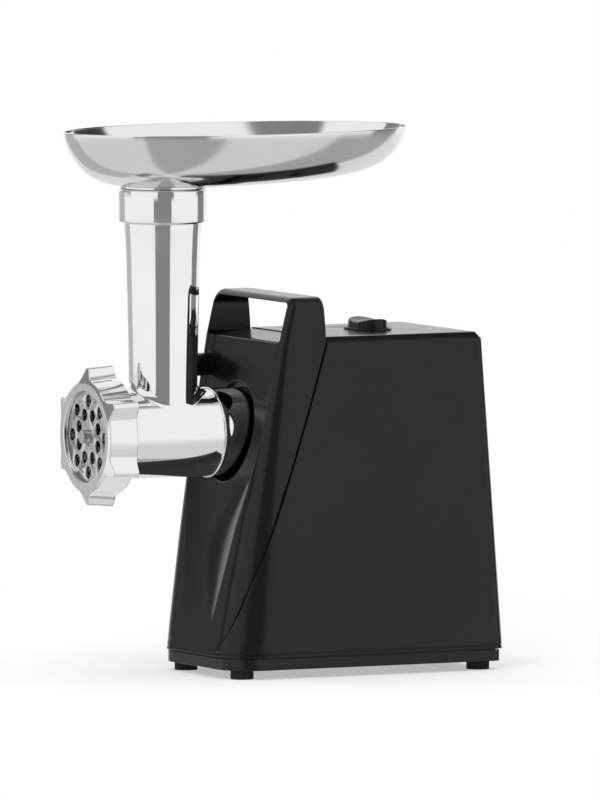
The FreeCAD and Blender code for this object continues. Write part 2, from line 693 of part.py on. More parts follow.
def head_bores():
    return [
        rod_y(BARREL_BORE_R, BARREL_FRONT_Y, BARREL_REAR_Y - BARREL_REAR_WALL),
        rod_y(AUGER_SHANK_R + MOVING_GAP, BARREL_FRONT_Y, BARREL_REAR_Y),
        rod_y(PLATE_R + FIT, BARREL_FRONT_Y, BARREL_FRONT_Y + PLATE_SEAT),
        rod_z(TUBE_BORE_R, AXIS_Z, COLLAR_TOP, 0.0, TUBE_Y),
        rod_z(THROAT_R, AXIS_Z, AXIS_Z + BARREL_R + THROAT_RISE, 0.0, TUBE_Y),
        rod_z(COLLAR_BORE_R, COLLAR_BOTTOM + COLLAR_FLOOR, COLLAR_TOP, 0.0, TUBE_Y),
        key_rod(FIT),
    ]


def key_rod(gap):
    return rod_y(KEY_R + gap, BARREL_FRONT_Y, BARREL_FRONT_Y + KEY_LENGTH + gap, 0.0, AXIS_Z - PLATE_R)


def hole_plate():
    plate = rod_y(PLATE_R, PLATE_FRONT_Y, PLATE_REAR_Y)
    holes = [rod_y(PLATE_BORE_R, PLATE_FRONT_Y, PLATE_REAR_Y), key_rod(FIT)]
    for radius, offset in ((PLATE_OUTER_RING_R, 0.0), (PLATE_INNER_RING_R, 0.5)):
        for i in range(PLATE_RING_HOLES):
            angle = 2 * math.pi * (i + offset) / PLATE_RING_HOLES
            holes.append(rod_y(PLATE_HOLE_R, PLATE_FRONT_Y, PLATE_REAR_Y,
                               radius * math.cos(angle), AXIS_Z + radius * math.sin(angle)))
    return cut_all(plate, holes)


def lobed_face(tip, valley, y):
    """Six lobes with concave hollows between them, one lobe straight up."""
    step = math.pi / NUT_LOBES
    edges = []
    for i in range(NUT_LOBES):
        middle = math.pi / 2 + 2 * step * i
        half = NUT_LOBE_SHARE * step
        lobe = [polar(tip, middle - half, y), polar(tip, middle, y), polar(tip, middle + half, y)]
        hollow = [lobe[2], polar(valley, middle + step, y), polar(tip, middle + 2 * step - half, y)]
        edges.append(Part.Arc(*lobe).toShape())
        edges.append(Part.Arc(*hollow).toShape())
    return Part.Wire(edges)


def polar(radius, angle, y):
    return V(radius * math.cos(angle), y, AXIS_Z + radius * math.sin(angle))


def ring_nut():
    """The lobed nut; beyond its flat front ring the face leans back to the tips."""
    rear_y = NUT_FRONT_Y + NUT_LENGTH
    body = Part.makeLoft([lobed_face(NUT_TIP_R - NUT_TAPER, NUT_FRONT_VALLEY_R, NUT_FRONT_Y),
                          lobed_face(NUT_TIP_R, NUT_VALLEY_R, rear_y)], True, True)
    spread = NUT_LENGTH / math.tan(NUT_FACE_TILT)
    lean = Part.makeCone(NUT_FACE_R, NUT_FACE_R + spread, NUT_LENGTH, V(0, NUT_FRONT_Y, AXIS_Z), Y_AXIS)
    thread = rod_y(BARREL_FLANGE_R + 2 * FIT, PLATE_FRONT_Y - FIT, rear_y)
    return cut_all(body.common(lean), [thread, rod_y(NUT_OPENING_R, NUT_FRONT_Y, rear_y)])


def knife():
    hub = rod_y(KNIFE_HUB_R, KNIFE_FRONT_Y, KNIFE_REAR_Y)
    low = AXIS_Z - KNIFE_ARM / 2
    blade = polygon_prism([V(0, KNIFE_FRONT_Y, low), V(KNIFE_R, KNIFE_FRONT_Y, low),
                           V(KNIFE_R, KNIFE_FRONT_Y, AXIS_Z), V(0, KNIFE_FRONT_Y, low + KNIFE_ARM)],
                          Y_AXIS * KNIFE_THICK)
    blade = blade.common(rod_y(KNIFE_R, KNIFE_FRONT_Y, KNIFE_REAR_Y))
    arms = [turned(blade, 360.0 * i / KNIFE_ARMS, 0.0, AXIS_Z) for i in range(KNIFE_ARMS)]
    return fuse_all([hub] + arms).cut(square_y(AUGER_SQUARE + FIT, KNIFE_FRONT_Y, KNIFE_REAR_Y))


def auger_flight(y0, y1):
    """One screw thread round the core, with a flat crest."""
    length = y1 - y0 - AUGER_FLIGHT_THICK
    root = AUGER_CORE_REAR_R - AUGER_FLIGHT_SINK
    half = AUGER_FLIGHT_THICK / 2
    profile = Part.makePolygon([
        V(root, 0, -half), V(AUGER_FLIGHT_R, 0, -half / 2), V(AUGER_FLIGHT_R, 0, half / 2),
        V(root, 0, half), V(root, 0, -half)])
    path = Part.Wire(Part.makeHelix(AUGER_PITCH, length, AUGER_CORE_REAR_R).Edges)
    thread = path.makePipeShell([profile], True, True)
    thread.rotate(V(0, 0, 0), X_AXIS, -90.0)
    thread.translate(V(0, y0 + half, AXIS_Z))
    return thread


def auger():
    core_front = KNIFE_REAR_Y + FIT
    shoulder_front = SHOULDER_REAR_Y - AUGER_SHOULDER
    hex_end = OUTPUT_FRONT_Y + AUGER_HEX_LENGTH
    core = Part.makeCone(AUGER_CORE_FRONT_R, AUGER_CORE_REAR_R, shoulder_front - core_front,
                         V(0, core_front, AXIS_Z), Y_AXIS)
    pieces = [
        core,
        auger_flight(core_front, shoulder_front),
        rod_y(AUGER_SHOULDER_R, shoulder_front, SHOULDER_REAR_Y),
        rod_y(AUGER_SHANK_R, SHOULDER_REAR_Y, BARREL_REAR_Y),
        hex_y(AUGER_HEX, BARREL_REAR_Y, hex_end),
        square_y(AUGER_SQUARE, KNIFE_FRONT_Y, core_front),
        rod_y(AUGER_PIN_R, PLATE_FRONT_Y - AUGER_PIN_OUT, KNIFE_FRONT_Y),
    ]
    return fuse_all(pieces)


def auger_washer():
    return ring_y(WASHER_R, AUGER_SHANK_R + FIT, SHOULDER_REAR_Y, WASHER_REAR_Y)


# Tray
def tray_rise(share):
    """How far along the dish's curve a reach to the rear lies: a gentle slope, then a steep curl."""
    return (1.0 - TRAY_SLOPE) * share ** TRAY_REAR_POWER + TRAY_SLOPE * share ** TRAY_SLOPE_POWER


def tray_reach(progress, reach, power):
    start = (SPOUT_FLANGE_R / reach) ** power
    return reach * (start + progress * (1.0 - start)) ** (1.0 / power)


def tray_section(share, sheet):
    """An oval slice of the dish, round over the spout's flange and long at the rim."""
    flat = tray_rise(SPOUT_FLANGE_R / TRAY_REAR_REACH)
    progress = (tray_rise(share) - flat) / (1.0 - flat)
    inset = sheet * math.sqrt(progress)
    rise = (TRAY_RIM_Z - TRAY_FLOOR_Z) * (1.0 - (1.0 - progress) ** TRAY_CURL)
    front = tray_reach(progress, TRAY_FRONT_REACH, TRAY_FRONT_POWER) - inset
    side = tray_reach(progress, TRAY_HALF_WIDTH, TRAY_SIDE_POWER) - inset
    rear = share * TRAY_REAR_REACH - inset
    middle = V(0, TUBE_Y + (rear - front) / 2, TRAY_FLOOR_Z + rise + sheet * (1.0 - progress))
    oval = Part.Ellipse(middle + Y_AXIS * ((rear + front) / 2), middle + X_AXIS * side, middle)
    return Part.Wire([oval.toShape()])


def tray_block(sheet):
    floor = Part.Circle(V(0, TUBE_Y, TRAY_FLOOR_Z + sheet), Z_AXIS, SPOUT_FLANGE_R).toShape()
    floor.rotate(V(0, TUBE_Y, 0), Z_AXIS, 90)
    return Part.makeLoft([Part.Wire([floor])] + [tray_section(share, sheet) for share in TRAY_STAGES], True)


def hopper_tray():
    """An oval dish of sheet metal, lowest round the hole over the feed tube."""
    dish = tray_block(0.0).cut(tray_block(TRAY_SHEET))
    return dish.cut(rod_z(SPOUT_R - SPOUT_WALL, COLLAR_TOP, TRAY_RIM_Z, 0.0, TUBE_Y))


def tray_spout():
    neck = rod_z(SPOUT_R, COLLAR_TOP - SPOUT_DEPTH, TRAY_FLOOR_Z, 0.0, TUBE_Y)
    flange = rod_z(SPOUT_FLANGE_R, TRAY_FLOOR_Z - SPOUT_FLANGE, TRAY_FLOOR_Z, 0.0, TUBE_Y)
    bore = rod_z(SPOUT_R - SPOUT_WALL, COLLAR_TOP - SPOUT_DEPTH, TRAY_FLOOR_Z, 0.0, TUBE_Y)
    return neck.fuse(flange).removeSplitter().cut(bore)


# Socket and head lock
def head_socket():
    body = rod_y(SOCKET_R, SOCKET_FRONT_Y, CASE_FRONT_Y)
    groove = rod_y(SOCKET_GROOVE_R, SOCKET_GROOVE_Y, SOCKET_STOP_Y)
    mouth = rod_y(BARREL_R + MOVING_GAP, SOCKET_FRONT_Y, SOCKET_STOP_Y)
    stop = rod_y(SOCKET_STOP_R, SOCKET_FRONT_Y, CASE_FRONT_Y)
    notch = box(-LUG_R - MOVING_GAP, LUG_R + MOVING_GAP, SOCKET_FRONT_Y, SOCKET_GROOVE_Y,
                AXIS_Z - LUG_WIDTH / 2 - MOVING_GAP, AXIS_Z + LUG_WIDTH / 2 + MOVING_GAP)
    return cut_all(body, [groove, mouth, stop, turned(notch, SOCKET_TWIST, 0.0, AXIS_Z)])


def lock_guide():
    front = panel_y(LOCK_Z) - LOCK_GUIDE_OUT
    sleeve = rod_y(LOCK_GUIDE_R, front, LOCK_FLOOR_Y + LOCK_GUIDE_FLOOR, LOCK_X, LOCK_Z)
    bore = rod_y(LOCK_BUTTON_R + RUNNING, front, LOCK_FLOOR_Y, LOCK_X, LOCK_Z)
    stem = rod_y(LOCK_STEM_R + FIT, front, LOCK_FLOOR_Y + LOCK_GUIDE_FLOOR, LOCK_X, LOCK_Z)
    return cut_all(sleeve, [bore, stem])


def lock_button():
    clip_y = LOCK_FLOOR_Y + LOCK_GUIDE_FLOOR + MOVING_GAP
    cap = rod_y(LOCK_BUTTON_R, LOCK_FRONT_Y, LOCK_BUTTON_REAR_Y, LOCK_X, LOCK_Z)
    cap = cap.makeFillet(COLLAR_EDGE, [e for e in cap.Edges if e.BoundBox.YMax < LOCK_FRONT_Y + FIT])
    stem = rod_y(LOCK_STEM_R, LOCK_BUTTON_REAR_Y, clip_y + 2 * LOCK_CLIP, LOCK_X, LOCK_Z)
    clip = rod_y(LOCK_CLIP_R, clip_y, clip_y + LOCK_CLIP, LOCK_X, LOCK_Z)
    return fuse_all([cap, stem, clip])


def lock_spring():
    return ring_y(SPRING_R, SPRING_R - SPRING_WALL, LOCK_BUTTON_REAR_Y + FIT, LOCK_FLOOR_Y - FIT,
                  LOCK_X, LOCK_Z)


# Switch
def switch_bezel():
    flange = oval_prism(BEZEL_HALF_X, BEZEL_HALF_Y, SHELL_TOP, BEZEL_TOP)
    collar = oval_prism(ROCKER_OPEN_X + COLLAR_WALL, ROCKER_OPEN_Y + COLLAR_WALL,
                        SHELL_TOP - SWITCH_COLLAR_DEPTH, SHELL_TOP)
    opening = oval_prism(ROCKER_OPEN_X, ROCKER_OPEN_Y, SHELL_TOP - SWITCH_COLLAR_DEPTH, BEZEL_TOP)
    half = ROCKER_OPEN_Y + COLLAR_WALL
    pins = rod_y(ROCKER_PIN_R + RUNNING, SWITCH_Y - half, SWITCH_Y + half, 0.0, ROCKER_PIVOT_Z)
    return cut_all(flange.fuse(collar).removeSplitter(), [opening, pins])


def switch_body():
    top = SHELL_TOP - SWITCH_COLLAR_DEPTH + SWITCH_BODY_OVERLAP
    return oval_prism(ROCKER_OPEN_X - FIT, ROCKER_OPEN_Y - FIT, top - SWITCH_BODY_HEIGHT, top)


def rocker():
    """An oval key whose top is hollowed between its two raised ends."""
    low = SHELL_TOP - ROCKER_SKIRT
    high = BEZEL_TOP + ROCKER_END_RISE
    key = oval_prism(ROCKER_HALF_X, ROCKER_HALF_Y, low, high)
    sag = ROCKER_END_RISE - ROCKER_MID_RISE
    radius = (ROCKER_HALF_X ** 2 + sag ** 2) / (2 * sag)
    hollow = rod_y(radius, SWITCH_Y - ROCKER_HALF_Y, SWITCH_Y + ROCKER_HALF_Y, 0.0,
                   BEZEL_TOP + ROCKER_MID_RISE + radius)
    reach = ROCKER_OPEN_Y + ROCKER_PIN_OUT
    pins = rod_y(ROCKER_PIN_R, SWITCH_Y - reach, SWITCH_Y + reach, 0.0, ROCKER_PIVOT_Z)
    return key.cut(hollow).fuse(pins).removeSplitter()


def cord_gland():
    wall_y = gland_wall_y()
    rear = wall_y + GLAND_FLANGE
    flange = rod_y(GLAND_FLANGE_R, wall_y - 2 * WALL, rear, GLAND_X, GLAND_Z).cut(outer_block())
    barrel = rod_y(GLAND_R, rear - GLAND_LENGTH, rear, GLAND_X, GLAND_Z)
    bore = rod_y(GLAND_BORE_R, rear - GLAND_LENGTH, rear, GLAND_X, GLAND_Z)
    return fuse_all([flange, barrel]).cut(bore)


# Gears
def involute(angle):
    return math.tan(angle) - angle


def tooth_half_angle(radius, pitch_r, base_r, teeth, module):
    half = math.pi / (2 * teeth) - BACKLASH * module / (2 * pitch_r)
    own = involute(math.acos(base_r / radius)) if radius > base_r else 0.0
    return half + involute(PRESSURE_ANGLE) - own


def gear(teeth, module, y0, y1, z, phase):
    """A spur gear prism along Y, with one tooth centred on the phase angle."""
    pitch_r = teeth * module / 2
    base_r = pitch_r * math.cos(PRESSURE_ANGLE)
    root_r = pitch_r - DEDENDUM * module
    tip_r = pitch_r + ADDENDUM * module
    start = max(root_r, base_r)
    radii = [start + (tip_r - start) * i / FLANK_STEPS for i in range(FLANK_STEPS + 1)]
    if root_r < base_r:
        radii.insert(0, root_r)
    points = []
    for i in range(teeth):
        middle = phase + 2 * math.pi * i / teeth
        flank = [(r, tooth_half_angle(r, pitch_r, base_r, teeth, module)) for r in radii]
        sides = [(r, middle - a) for r, a in flank] + [(r, middle + a) for r, a in reversed(flank)]
        points += [V(r * math.cos(a), y0, z + r * math.sin(a)) for r, a in sides]
    return polygon_prism(points, Y_AXIS * (y1 - y0))


UP = math.pi / 2
DOWN = -math.pi / 2


def output_gear():
    phase = DOWN + math.pi / SECOND_TEETH
    wheel = gear(SECOND_TEETH, SECOND_MODULE, SECOND_Y, SECOND_END_Y, AXIS_Z, phase)
    rim = SECOND_MODULE * SECOND_TEETH / 2 - GEAR_WEB_RIM
    webs = [ring_y(rim, GEAR_HUB_R, SECOND_Y, SECOND_Y + GEAR_WEB_CUT),
            ring_y(rim, GEAR_HUB_R, SECOND_END_Y - GEAR_WEB_CUT, SECOND_END_Y)]
    return cut_all(wheel, webs + [rod_y(OUTPUT_R + PRESS, SECOND_Y, SECOND_END_Y)])


def output_shaft():
    hex_end = OUTPUT_FRONT_Y + AUGER_HEX_LENGTH + AUGER_HEX_ROOM
    shaft = rod_y(OUTPUT_R, OUTPUT_FRONT_Y, SECOND_END_Y)
    journal = rod_y(OUTPUT_JOURNAL_R, SECOND_END_Y, COVER_Y + REAR_BUSH_LENGTH)
    return shaft.fuse(journal).removeSplitter().cut(hex_y(AUGER_HEX + 2 * FIT, OUTPUT_FRONT_Y, hex_end))


def intermediate_pinion():
    teeth = gear(SECOND_PINION_TEETH, SECOND_MODULE, SECOND_Y, SECOND_END_Y, MIDDLE_Z, UP)
    sleeve = rod_y(SLEEVE_R, SECOND_END_Y, FIRST_END_Y, 0.0, MIDDLE_Z)
    return teeth.fuse(sleeve).cut(rod_y(AXLE_R + RUNNING, SECOND_Y, FIRST_END_Y, 0.0, MIDDLE_Z))


def intermediate_gear():
    wheel = gear(FIRST_TEETH, FIRST_MODULE, FIRST_Y, FIRST_END_Y, MIDDLE_Z, DOWN + math.pi / FIRST_TEETH)
    return wheel.cut(rod_y(SLEEVE_R + PRESS, FIRST_Y, FIRST_END_Y, 0.0, MIDDLE_Z))


def motor_pinion():
    teeth = gear(PINION_TEETH, FIRST_MODULE, FIRST_Y, FIRST_END_Y, MOTOR_Z, UP)
    return teeth.cut(rod_y(PINION_SHAFT_R + PRESS, FIRST_Y, FIRST_END_Y, 0.0, MOTOR_Z))


def intermediate_axle():
    return rod_y(AXLE_R, CASE_FRONT_Y + GEAR_SIDE_GAP, COVER_END_Y, 0.0, MIDDLE_Z)


# Gearbox
def case_outline(inset, y0, y1):
    """Three round lobes, one round each gear, joined by a straight-sided waist."""
    top = rod_y(CASE_TOP_R - inset, y0, y1, 0.0, AXIS_Z)
    low = rod_y(CASE_LOW_R - inset, y0, y1, 0.0, MIDDLE_Z)
    pinion = rod_y(CASE_PINION_R - inset, y0, y1, 0.0, MOTOR_Z)
    waist = box(-CASE_LOW_R + inset, CASE_LOW_R - inset, y0, y1, MIDDLE_Z, AXIS_Z)
    return fuse_all([top, low, pinion, waist])


def ear_places():
    """Centres of the screw ears, just outside the case wall."""
    drop = V(0, 0, MIDDLE_Z - AXIS_Z)
    top = [polar(CASE_TOP_R + EAR_OFFSET, math.radians(a), 0.0) for a in EAR_ANGLES_TOP]
    low = [polar(CASE_LOW_R + EAR_OFFSET, math.radians(a), 0.0) + drop for a in EAR_ANGLES_LOW]
    return [(place.x, place.z) for place in top + low]


def gearbox_case():
    body = case_outline(0.0, CASE_FRONT_Y, COVER_Y)
    ears = [rod_y(EAR_R, CASE_FRONT_Y, COVER_Y, x, z) for x, z in ear_places()]
    room = case_outline(CASE_WALL, CASE_FRONT_Y + CASE_FLOOR, COVER_Y)
    boss = rod_y(OUTPUT_R + BUSH_WALL + BOSS_WALL, front_bush_y(), CASE_FRONT_Y + CASE_FLOOR)
    walls = fuse_all([body] + ears).cut(room)
    holes = [rod_y(GEARBOX_SCREW_R + PRESS, CASE_FRONT_Y + CASE_FLOOR, COVER_Y, x, z)
             for x, z in ear_places()]
    bores = [rod_y(OUTPUT_R + BUSH_WALL + PRESS, front_bush_y(), CASE_FRONT_Y + CASE_FLOOR),
             rod_y(AXLE_R + PRESS, CASE_FRONT_Y + GEAR_SIDE_GAP, CASE_FRONT_Y + CASE_FLOOR, 0.0, MIDDLE_Z)]
    return cut_all(walls.fuse(boss).removeSplitter(), holes + bores)


def front_bush_y():
    return CASE_FRONT_Y + CASE_FLOOR - FRONT_BUSH_LENGTH


def gearbox_cover():
    plate = case_outline(0.0, COVER_Y, COVER_END_Y)
    ears = [rod_y(EAR_R, COVER_Y, COVER_END_Y, x, z) for x, z in ear_places()]
    boss = rod_y(OUTPUT_JOURNAL_R + BUSH_WALL + BOSS_WALL, COVER_Y, COVER_Y + REAR_BUSH_LENGTH)
    bores = [rod_y(OUTPUT_JOURNAL_R + BUSH_WALL + PRESS, COVER_Y, COVER_Y + REAR_BUSH_LENGTH),
             rod_y(AXLE_R + PRESS, COVER_Y, COVER_END_Y, 0.0, MIDDLE_Z),
             rod_y(CASE_PINION_R - CASE_WALL, COVER_Y, COVER_END_Y, 0.0, MOTOR_Z)]
    holes = [rod_y(GEARBOX_SCREW_R + FIT, COVER_Y, COVER_END_Y, x, z) for x, z in ear_places()]
    return cut_all(fuse_all([plate, boss] + ears), bores + holes)


def gearbox_screws():
    screws = []
    for x, z in ear_places():
        head = rod_y(GEARBOX_SCREW_HEAD_R, COVER_END_Y, COVER_END_Y + GEARBOX_SCREW_HEAD, x, z)
        shank = rod_y(GEARBOX_SCREW_R, COVER_END_Y - GEARBOX_SCREW_LENGTH, COVER_END_Y, x, z)
        screws.append(head.fuse(shank).removeSplitter())
    return Part.makeCompound(screws)


def front_bushing():
    return ring_y(OUTPUT_R + BUSH_WALL, OUTPUT_R + RUNNING, front_bush_y(), CASE_FRONT_Y + CASE_FLOOR)


def rear_bushing():
    return ring_y(OUTPUT_JOURNAL_R + BUSH_WALL, OUTPUT_JOURNAL_R + RUNNING,
                  COVER_Y, COVER_Y + REAR_BUSH_LENGTH)


# Motor
def motor_rod(radius, y0, y1):
    return rod_y(radius, y0, y1, 0.0, MOTOR_Z)


def motor_ring(outer, inner, y0, y1):
    return ring_y(outer, inner, y0, y1, 0.0, MOTOR_Z)


def motor_block(y0, y1):
    """A block with rounded corners about the motor axis."""
    section = rounded_section(STATOR_HALF_X, -STATOR_HALF_Z, STATOR_HALF_Z,
                              STATOR_CORNER, STATOR_CORNER, 0.0)
    block = Part.Face(section).extrude(V(0, 0, y1 - y0))
    block.rotate(V(0, 0, 0), X_AXIS, -90.0)
    block.translate(V(0, y0, MOTOR_Z))
    return block


def bolt_places():
    return [(x, MOTOR_Z + z) for x in (-MOTOR_BOLT_X, MOTOR_BOLT_X)
            for z in (-MOTOR_BOLT_Z, MOTOR_BOLT_Z)]


def bolt_holes(y0, y1):
    return [rod_y(MOTOR_BOLT_R + FIT, y0, y1, x, z) for x, z in bolt_places()]


def coil_bars(gap, y0, y1, flip):
    """The straight sides of a field coil, set in slots beside each pole."""
    half = COIL_BAR / 2 + gap
    bar = box(COIL_INNER_R - 2 * gap, COIL_R + gap, y0, y1, MOTOR_Z - half, MOTOR_Z + half)
    return [turned(bar, -angle + flip, 0.0, MOTOR_Z) for angle in (90.0 - COIL_SPAN, 90.0 + COIL_SPAN)]


def field_coil(flip):
    reach = math.radians(COIL_SPAN)
    far = 2 * COIL_R
    wedge = polygon_prism([V(0, COIL_Y, MOTOR_Z),
                           V(far * math.sin(reach), COIL_Y, MOTOR_Z + far * math.cos(reach)),
                           V(0, COIL_Y, MOTOR_Z + 2 * far),
                           V(-far * math.sin(reach), COIL_Y, MOTOR_Z + far * math.cos(reach))],
                          Y_AXIS * (STATOR_LENGTH + 2 * COIL_END))
    wedge = turned(wedge, flip, 0.0, MOTOR_Z)
    ends = [motor_ring(COIL_R, COIL_INNER_R, COIL_Y, STATOR_Y).common(wedge),
            motor_ring(COIL_R, COIL_INNER_R, STATOR_END_Y, STATOR_END_Y + COIL_END).common(wedge)]
    return fuse_all(ends + coil_bars(0.0, COIL_Y, STATOR_END_Y + COIL_END, flip))


def stator_core():
    core = motor_block(STATOR_Y, STATOR_END_Y).cut(motor_rod(STATOR_BORE_R, STATOR_Y, STATOR_END_Y))
    slots = coil_bars(FIT, STATOR_Y, STATOR_END_Y, 0.0) + coil_bars(FIT, STATOR_Y, STATOR_END_Y, 180.0)
    return cut_all(core, slots + bolt_holes(STATOR_Y, STATOR_END_Y))


def bearing_cup(y0, y1):
    return motor_rod(BEARING_R + BEARING_CUP_WALL, y0, y1)


def motor_bracket(y0, y1, cup_y0, cup_y1, shaft_hole_r):
    plate = motor_block(y0, y1).fuse(bearing_cup(cup_y0, cup_y1)).removeSplitter()
    pocket = motor_rod(BEARING_R + PRESS, cup_y0, cup_y1)
    return cut_all(plate, [pocket, motor_rod(shaft_hole_r, y0, y1)] + bolt_holes(y0, y1))


def front_bracket():
    return motor_bracket(COVER_END_Y, BRACKET_END_Y, BRACKET_END_Y, FRONT_BEARING_END_Y,
                         CASE_PINION_R - CASE_WALL)


def rear_bracket():
    return motor_bracket(REAR_BRACKET_Y, REAR_BRACKET_END_Y, REAR_BEARING_Y, REAR_BRACKET_Y,
                         MOTOR_SHAFT_R)


def bearing(y0):
    return motor_ring(BEARING_R, MOTOR_SHAFT_R + RUNNING, y0, y0 + BEARING_WIDTH)


def motor_shaft():
    nose = motor_rod(PINION_SHAFT_R, FIRST_Y - FIT, COVER_END_Y)
    return motor_rod(MOTOR_SHAFT_R, COVER_END_Y, REAR_BRACKET_Y).fuse(nose).removeSplitter()


def armature_core():
    core = motor_ring(ARMATURE_R, MOTOR_SHAFT_R + PRESS, STATOR_Y, STATOR_END_Y)
    half = ARMATURE_SLOT_WIDTH / 2
    slot = box(ARMATURE_R - ARMATURE_SLOT_DEPTH, ARMATURE_R + half, STATOR_Y, STATOR_END_Y,
               MOTOR_Z - half, MOTOR_Z + half)
    return cut_all(core, [turned(slot, 360.0 * i / ARMATURE_SLOTS, 0.0, MOTOR_Z)
                          for i in range(ARMATURE_SLOTS)])


def armature_winding():
    inner = MOTOR_SHAFT_R + PRESS
    return Part.makeCompound([motor_ring(WINDING_R, inner, COIL_Y, STATOR_Y),
                              motor_ring(WINDING_R, inner, STATOR_END_Y, WINDING_END_Y)])


def commutator():
    drum = motor_ring(COMMUTATOR_R, MOTOR_SHAFT_R + PRESS, COMMUTATOR_Y, COMMUTATOR_END_Y)
    half = COMMUTATOR_SLOT / 2
    slot = box(COMMUTATOR_R - 2 * COMMUTATOR_SLOT, COMMUTATOR_R + COMMUTATOR_SLOT,
               COMMUTATOR_Y, COMMUTATOR_END_Y, MOTOR_Z - half, MOTOR_Z + half)
    return cut_all(drum, [turned(slot, 360.0 * i / COMMUTATOR_BARS, 0.0, MOTOR_Z)
                          for i in range(COMMUTATOR_BARS)])


def cooling_fan():
    disc = motor_ring(FAN_R, MOTOR_SHAFT_R + PRESS, FAN_Y, FAN_Y + FAN_DISC)
    hub = motor_ring(FAN_HUB_R, MOTOR_SHAFT_R + PRESS, FAN_Y, FAN_Y + FAN_WIDTH)
    blade = box(FAN_HUB_R - FAN_BLADE, FAN_R - FAN_BLADE, FAN_Y, FAN_Y + FAN_WIDTH,
                MOTOR_Z - FAN_BLADE / 2, MOTOR_Z + FAN_BLADE / 2)
    blades = [turned(blade, 360.0 * i / FAN_BLADES, 0.0, MOTOR_Z) for i in range(FAN_BLADES)]
    return fuse_all([disc, hub] + blades)


def brush_span():
    middle = (COMMUTATOR_Y + COMMUTATOR_END_Y) / 2
    return middle - BRUSH_WIDTH / 2, middle + BRUSH_WIDTH / 2


def sided(shape, side):
    return shape if side > 0 else turned(shape, 180.0, 0.0, MOTOR_Z)


def carbon_brush(side):
    y0, y1 = brush_span()
    inner = COMMUTATOR_R + MOVING_GAP
    block = box(inner, inner + BRUSH_LENGTH, y0, y1, MOTOR_Z - BRUSH_HALF, MOTOR_Z + BRUSH_HALF)
    return sided(block, side)


def brush_holder(side):
    y0, y1 = brush_span()
    inner = BEARING_R + BEARING_CUP_WALL + HOLDER_WALL
    half = BRUSH_HALF + HOLDER_WALL
    block = box(inner, inner + HOLDER_LENGTH, y0 - HOLDER_WALL, REAR_BRACKET_Y,
                MOTOR_Z - half, MOTOR_Z + half)
    pocket = box(COMMUTATOR_R, inner + HOLDER_LENGTH - HOLDER_WALL, y0 - FIT, y1 + FIT,
                 MOTOR_Z - BRUSH_HALF - FIT, MOTOR_Z + BRUSH_HALF + FIT)
    return sided(block.cut(pocket), side)


def motor_bolts():
    bolts = []
    for x, z in bolt_places():
        head = rod_y(MOTOR_BOLT_HEAD_R, REAR_BRACKET_END_Y, REAR_BRACKET_END_Y + MOTOR_BOLT_HEAD, x, z)
        shank = rod_y(MOTOR_BOLT_R, COVER_END_Y + FIT, REAR_BRACKET_END_Y, x, z)
        bolts.append(head.fuse(shank).removeSplitter())
    return Part.makeCompound(bolts)


def all_nodes():
    nodes = {
        "rear_housing": rear_housing(),
        "front_cover": front_cover(),
        "base_plate": base_plate(),
        "base_screws": base_screws(),
        "head_socket": head_socket(),
        "cord_gland": cord_gland(),
        "switch_bezel": switch_bezel(),
        "switch_body": switch_body(),
        "rocker": rocker(),
        "lock_guide": lock_guide(),
        "lock_button": lock_button(),
        "lock_spring": lock_spring(),
        "gearbox_case": gearbox_case(),
        "gearbox_cover": gearbox_cover(),
        "gearbox_screws": gearbox_screws(),
        "front_bushing": front_bushing(),
        "rear_bushing": rear_bushing(),
        "intermediate_axle": intermediate_axle(),
        "intermediate_gear": intermediate_gear(),
        "intermediate_pinion": intermediate_pinion(),
        "output_gear": output_gear(),
        "output_shaft": output_shaft(),
        "auger": auger(),
        "auger_washer": auger_washer(),
        "knife": knife(),
        "grinder_head": grinder_head(),
        "hole_plate": hole_plate(),
        "plate_key": key_rod(0.0),
        "ring_nut": ring_nut(),
        "hopper_tray": hopper_tray(),
        "tray_spout": tray_spout(),
        "motor_bracket_front": front_bracket(),
        "motor_bracket_rear": rear_bracket(),
        "motor_bearing_front": bearing(BRACKET_END_Y),
        "motor_bearing_rear": bearing(REAR_BEARING_Y),
        "motor_bolts": motor_bolts(),
        "stator_core": stator_core(),
        "field_coil_upper": field_coil(0.0),
        "field_coil_lower": field_coil(180.0),
        "motor_shaft": motor_shaft(),
        "motor_pinion": motor_pinion(),
        "armature_core": armature_core(),
        "armature_winding": armature_winding(),
        "commutator": commutator(),
        "cooling_fan": cooling_fan(),
        "brush_holder_left": brush_holder(-1),
        "brush_holder_right": brush_holder(1),
        "carbon_brush_left": carbon_brush(-1),
        "carbon_brush_right": carbon_brush(1),
    }
    for name, (x, y) in FEET.items():
        nodes[name] = foot(x, y)
    return nodes


os.makedirs("parts", exist_ok=True)
for name, shape in all_nodes().items():
    shape.exportStep(os.path.join("parts", name + ".step"))
    print(name, shape.isValid(), len(shape.Solids), round(shape.Volume / 1000.0, 2))
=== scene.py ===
# Electric meat grinder: the looks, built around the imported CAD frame.
# Shapes are written in millimetres in the CAD frame; mesh_object turns them into metres.
from math import acos, asin, cos, hypot, pi, radians, sin, sqrt, tan

import bmesh
import bpy
from mathutils import Matrix, Vector


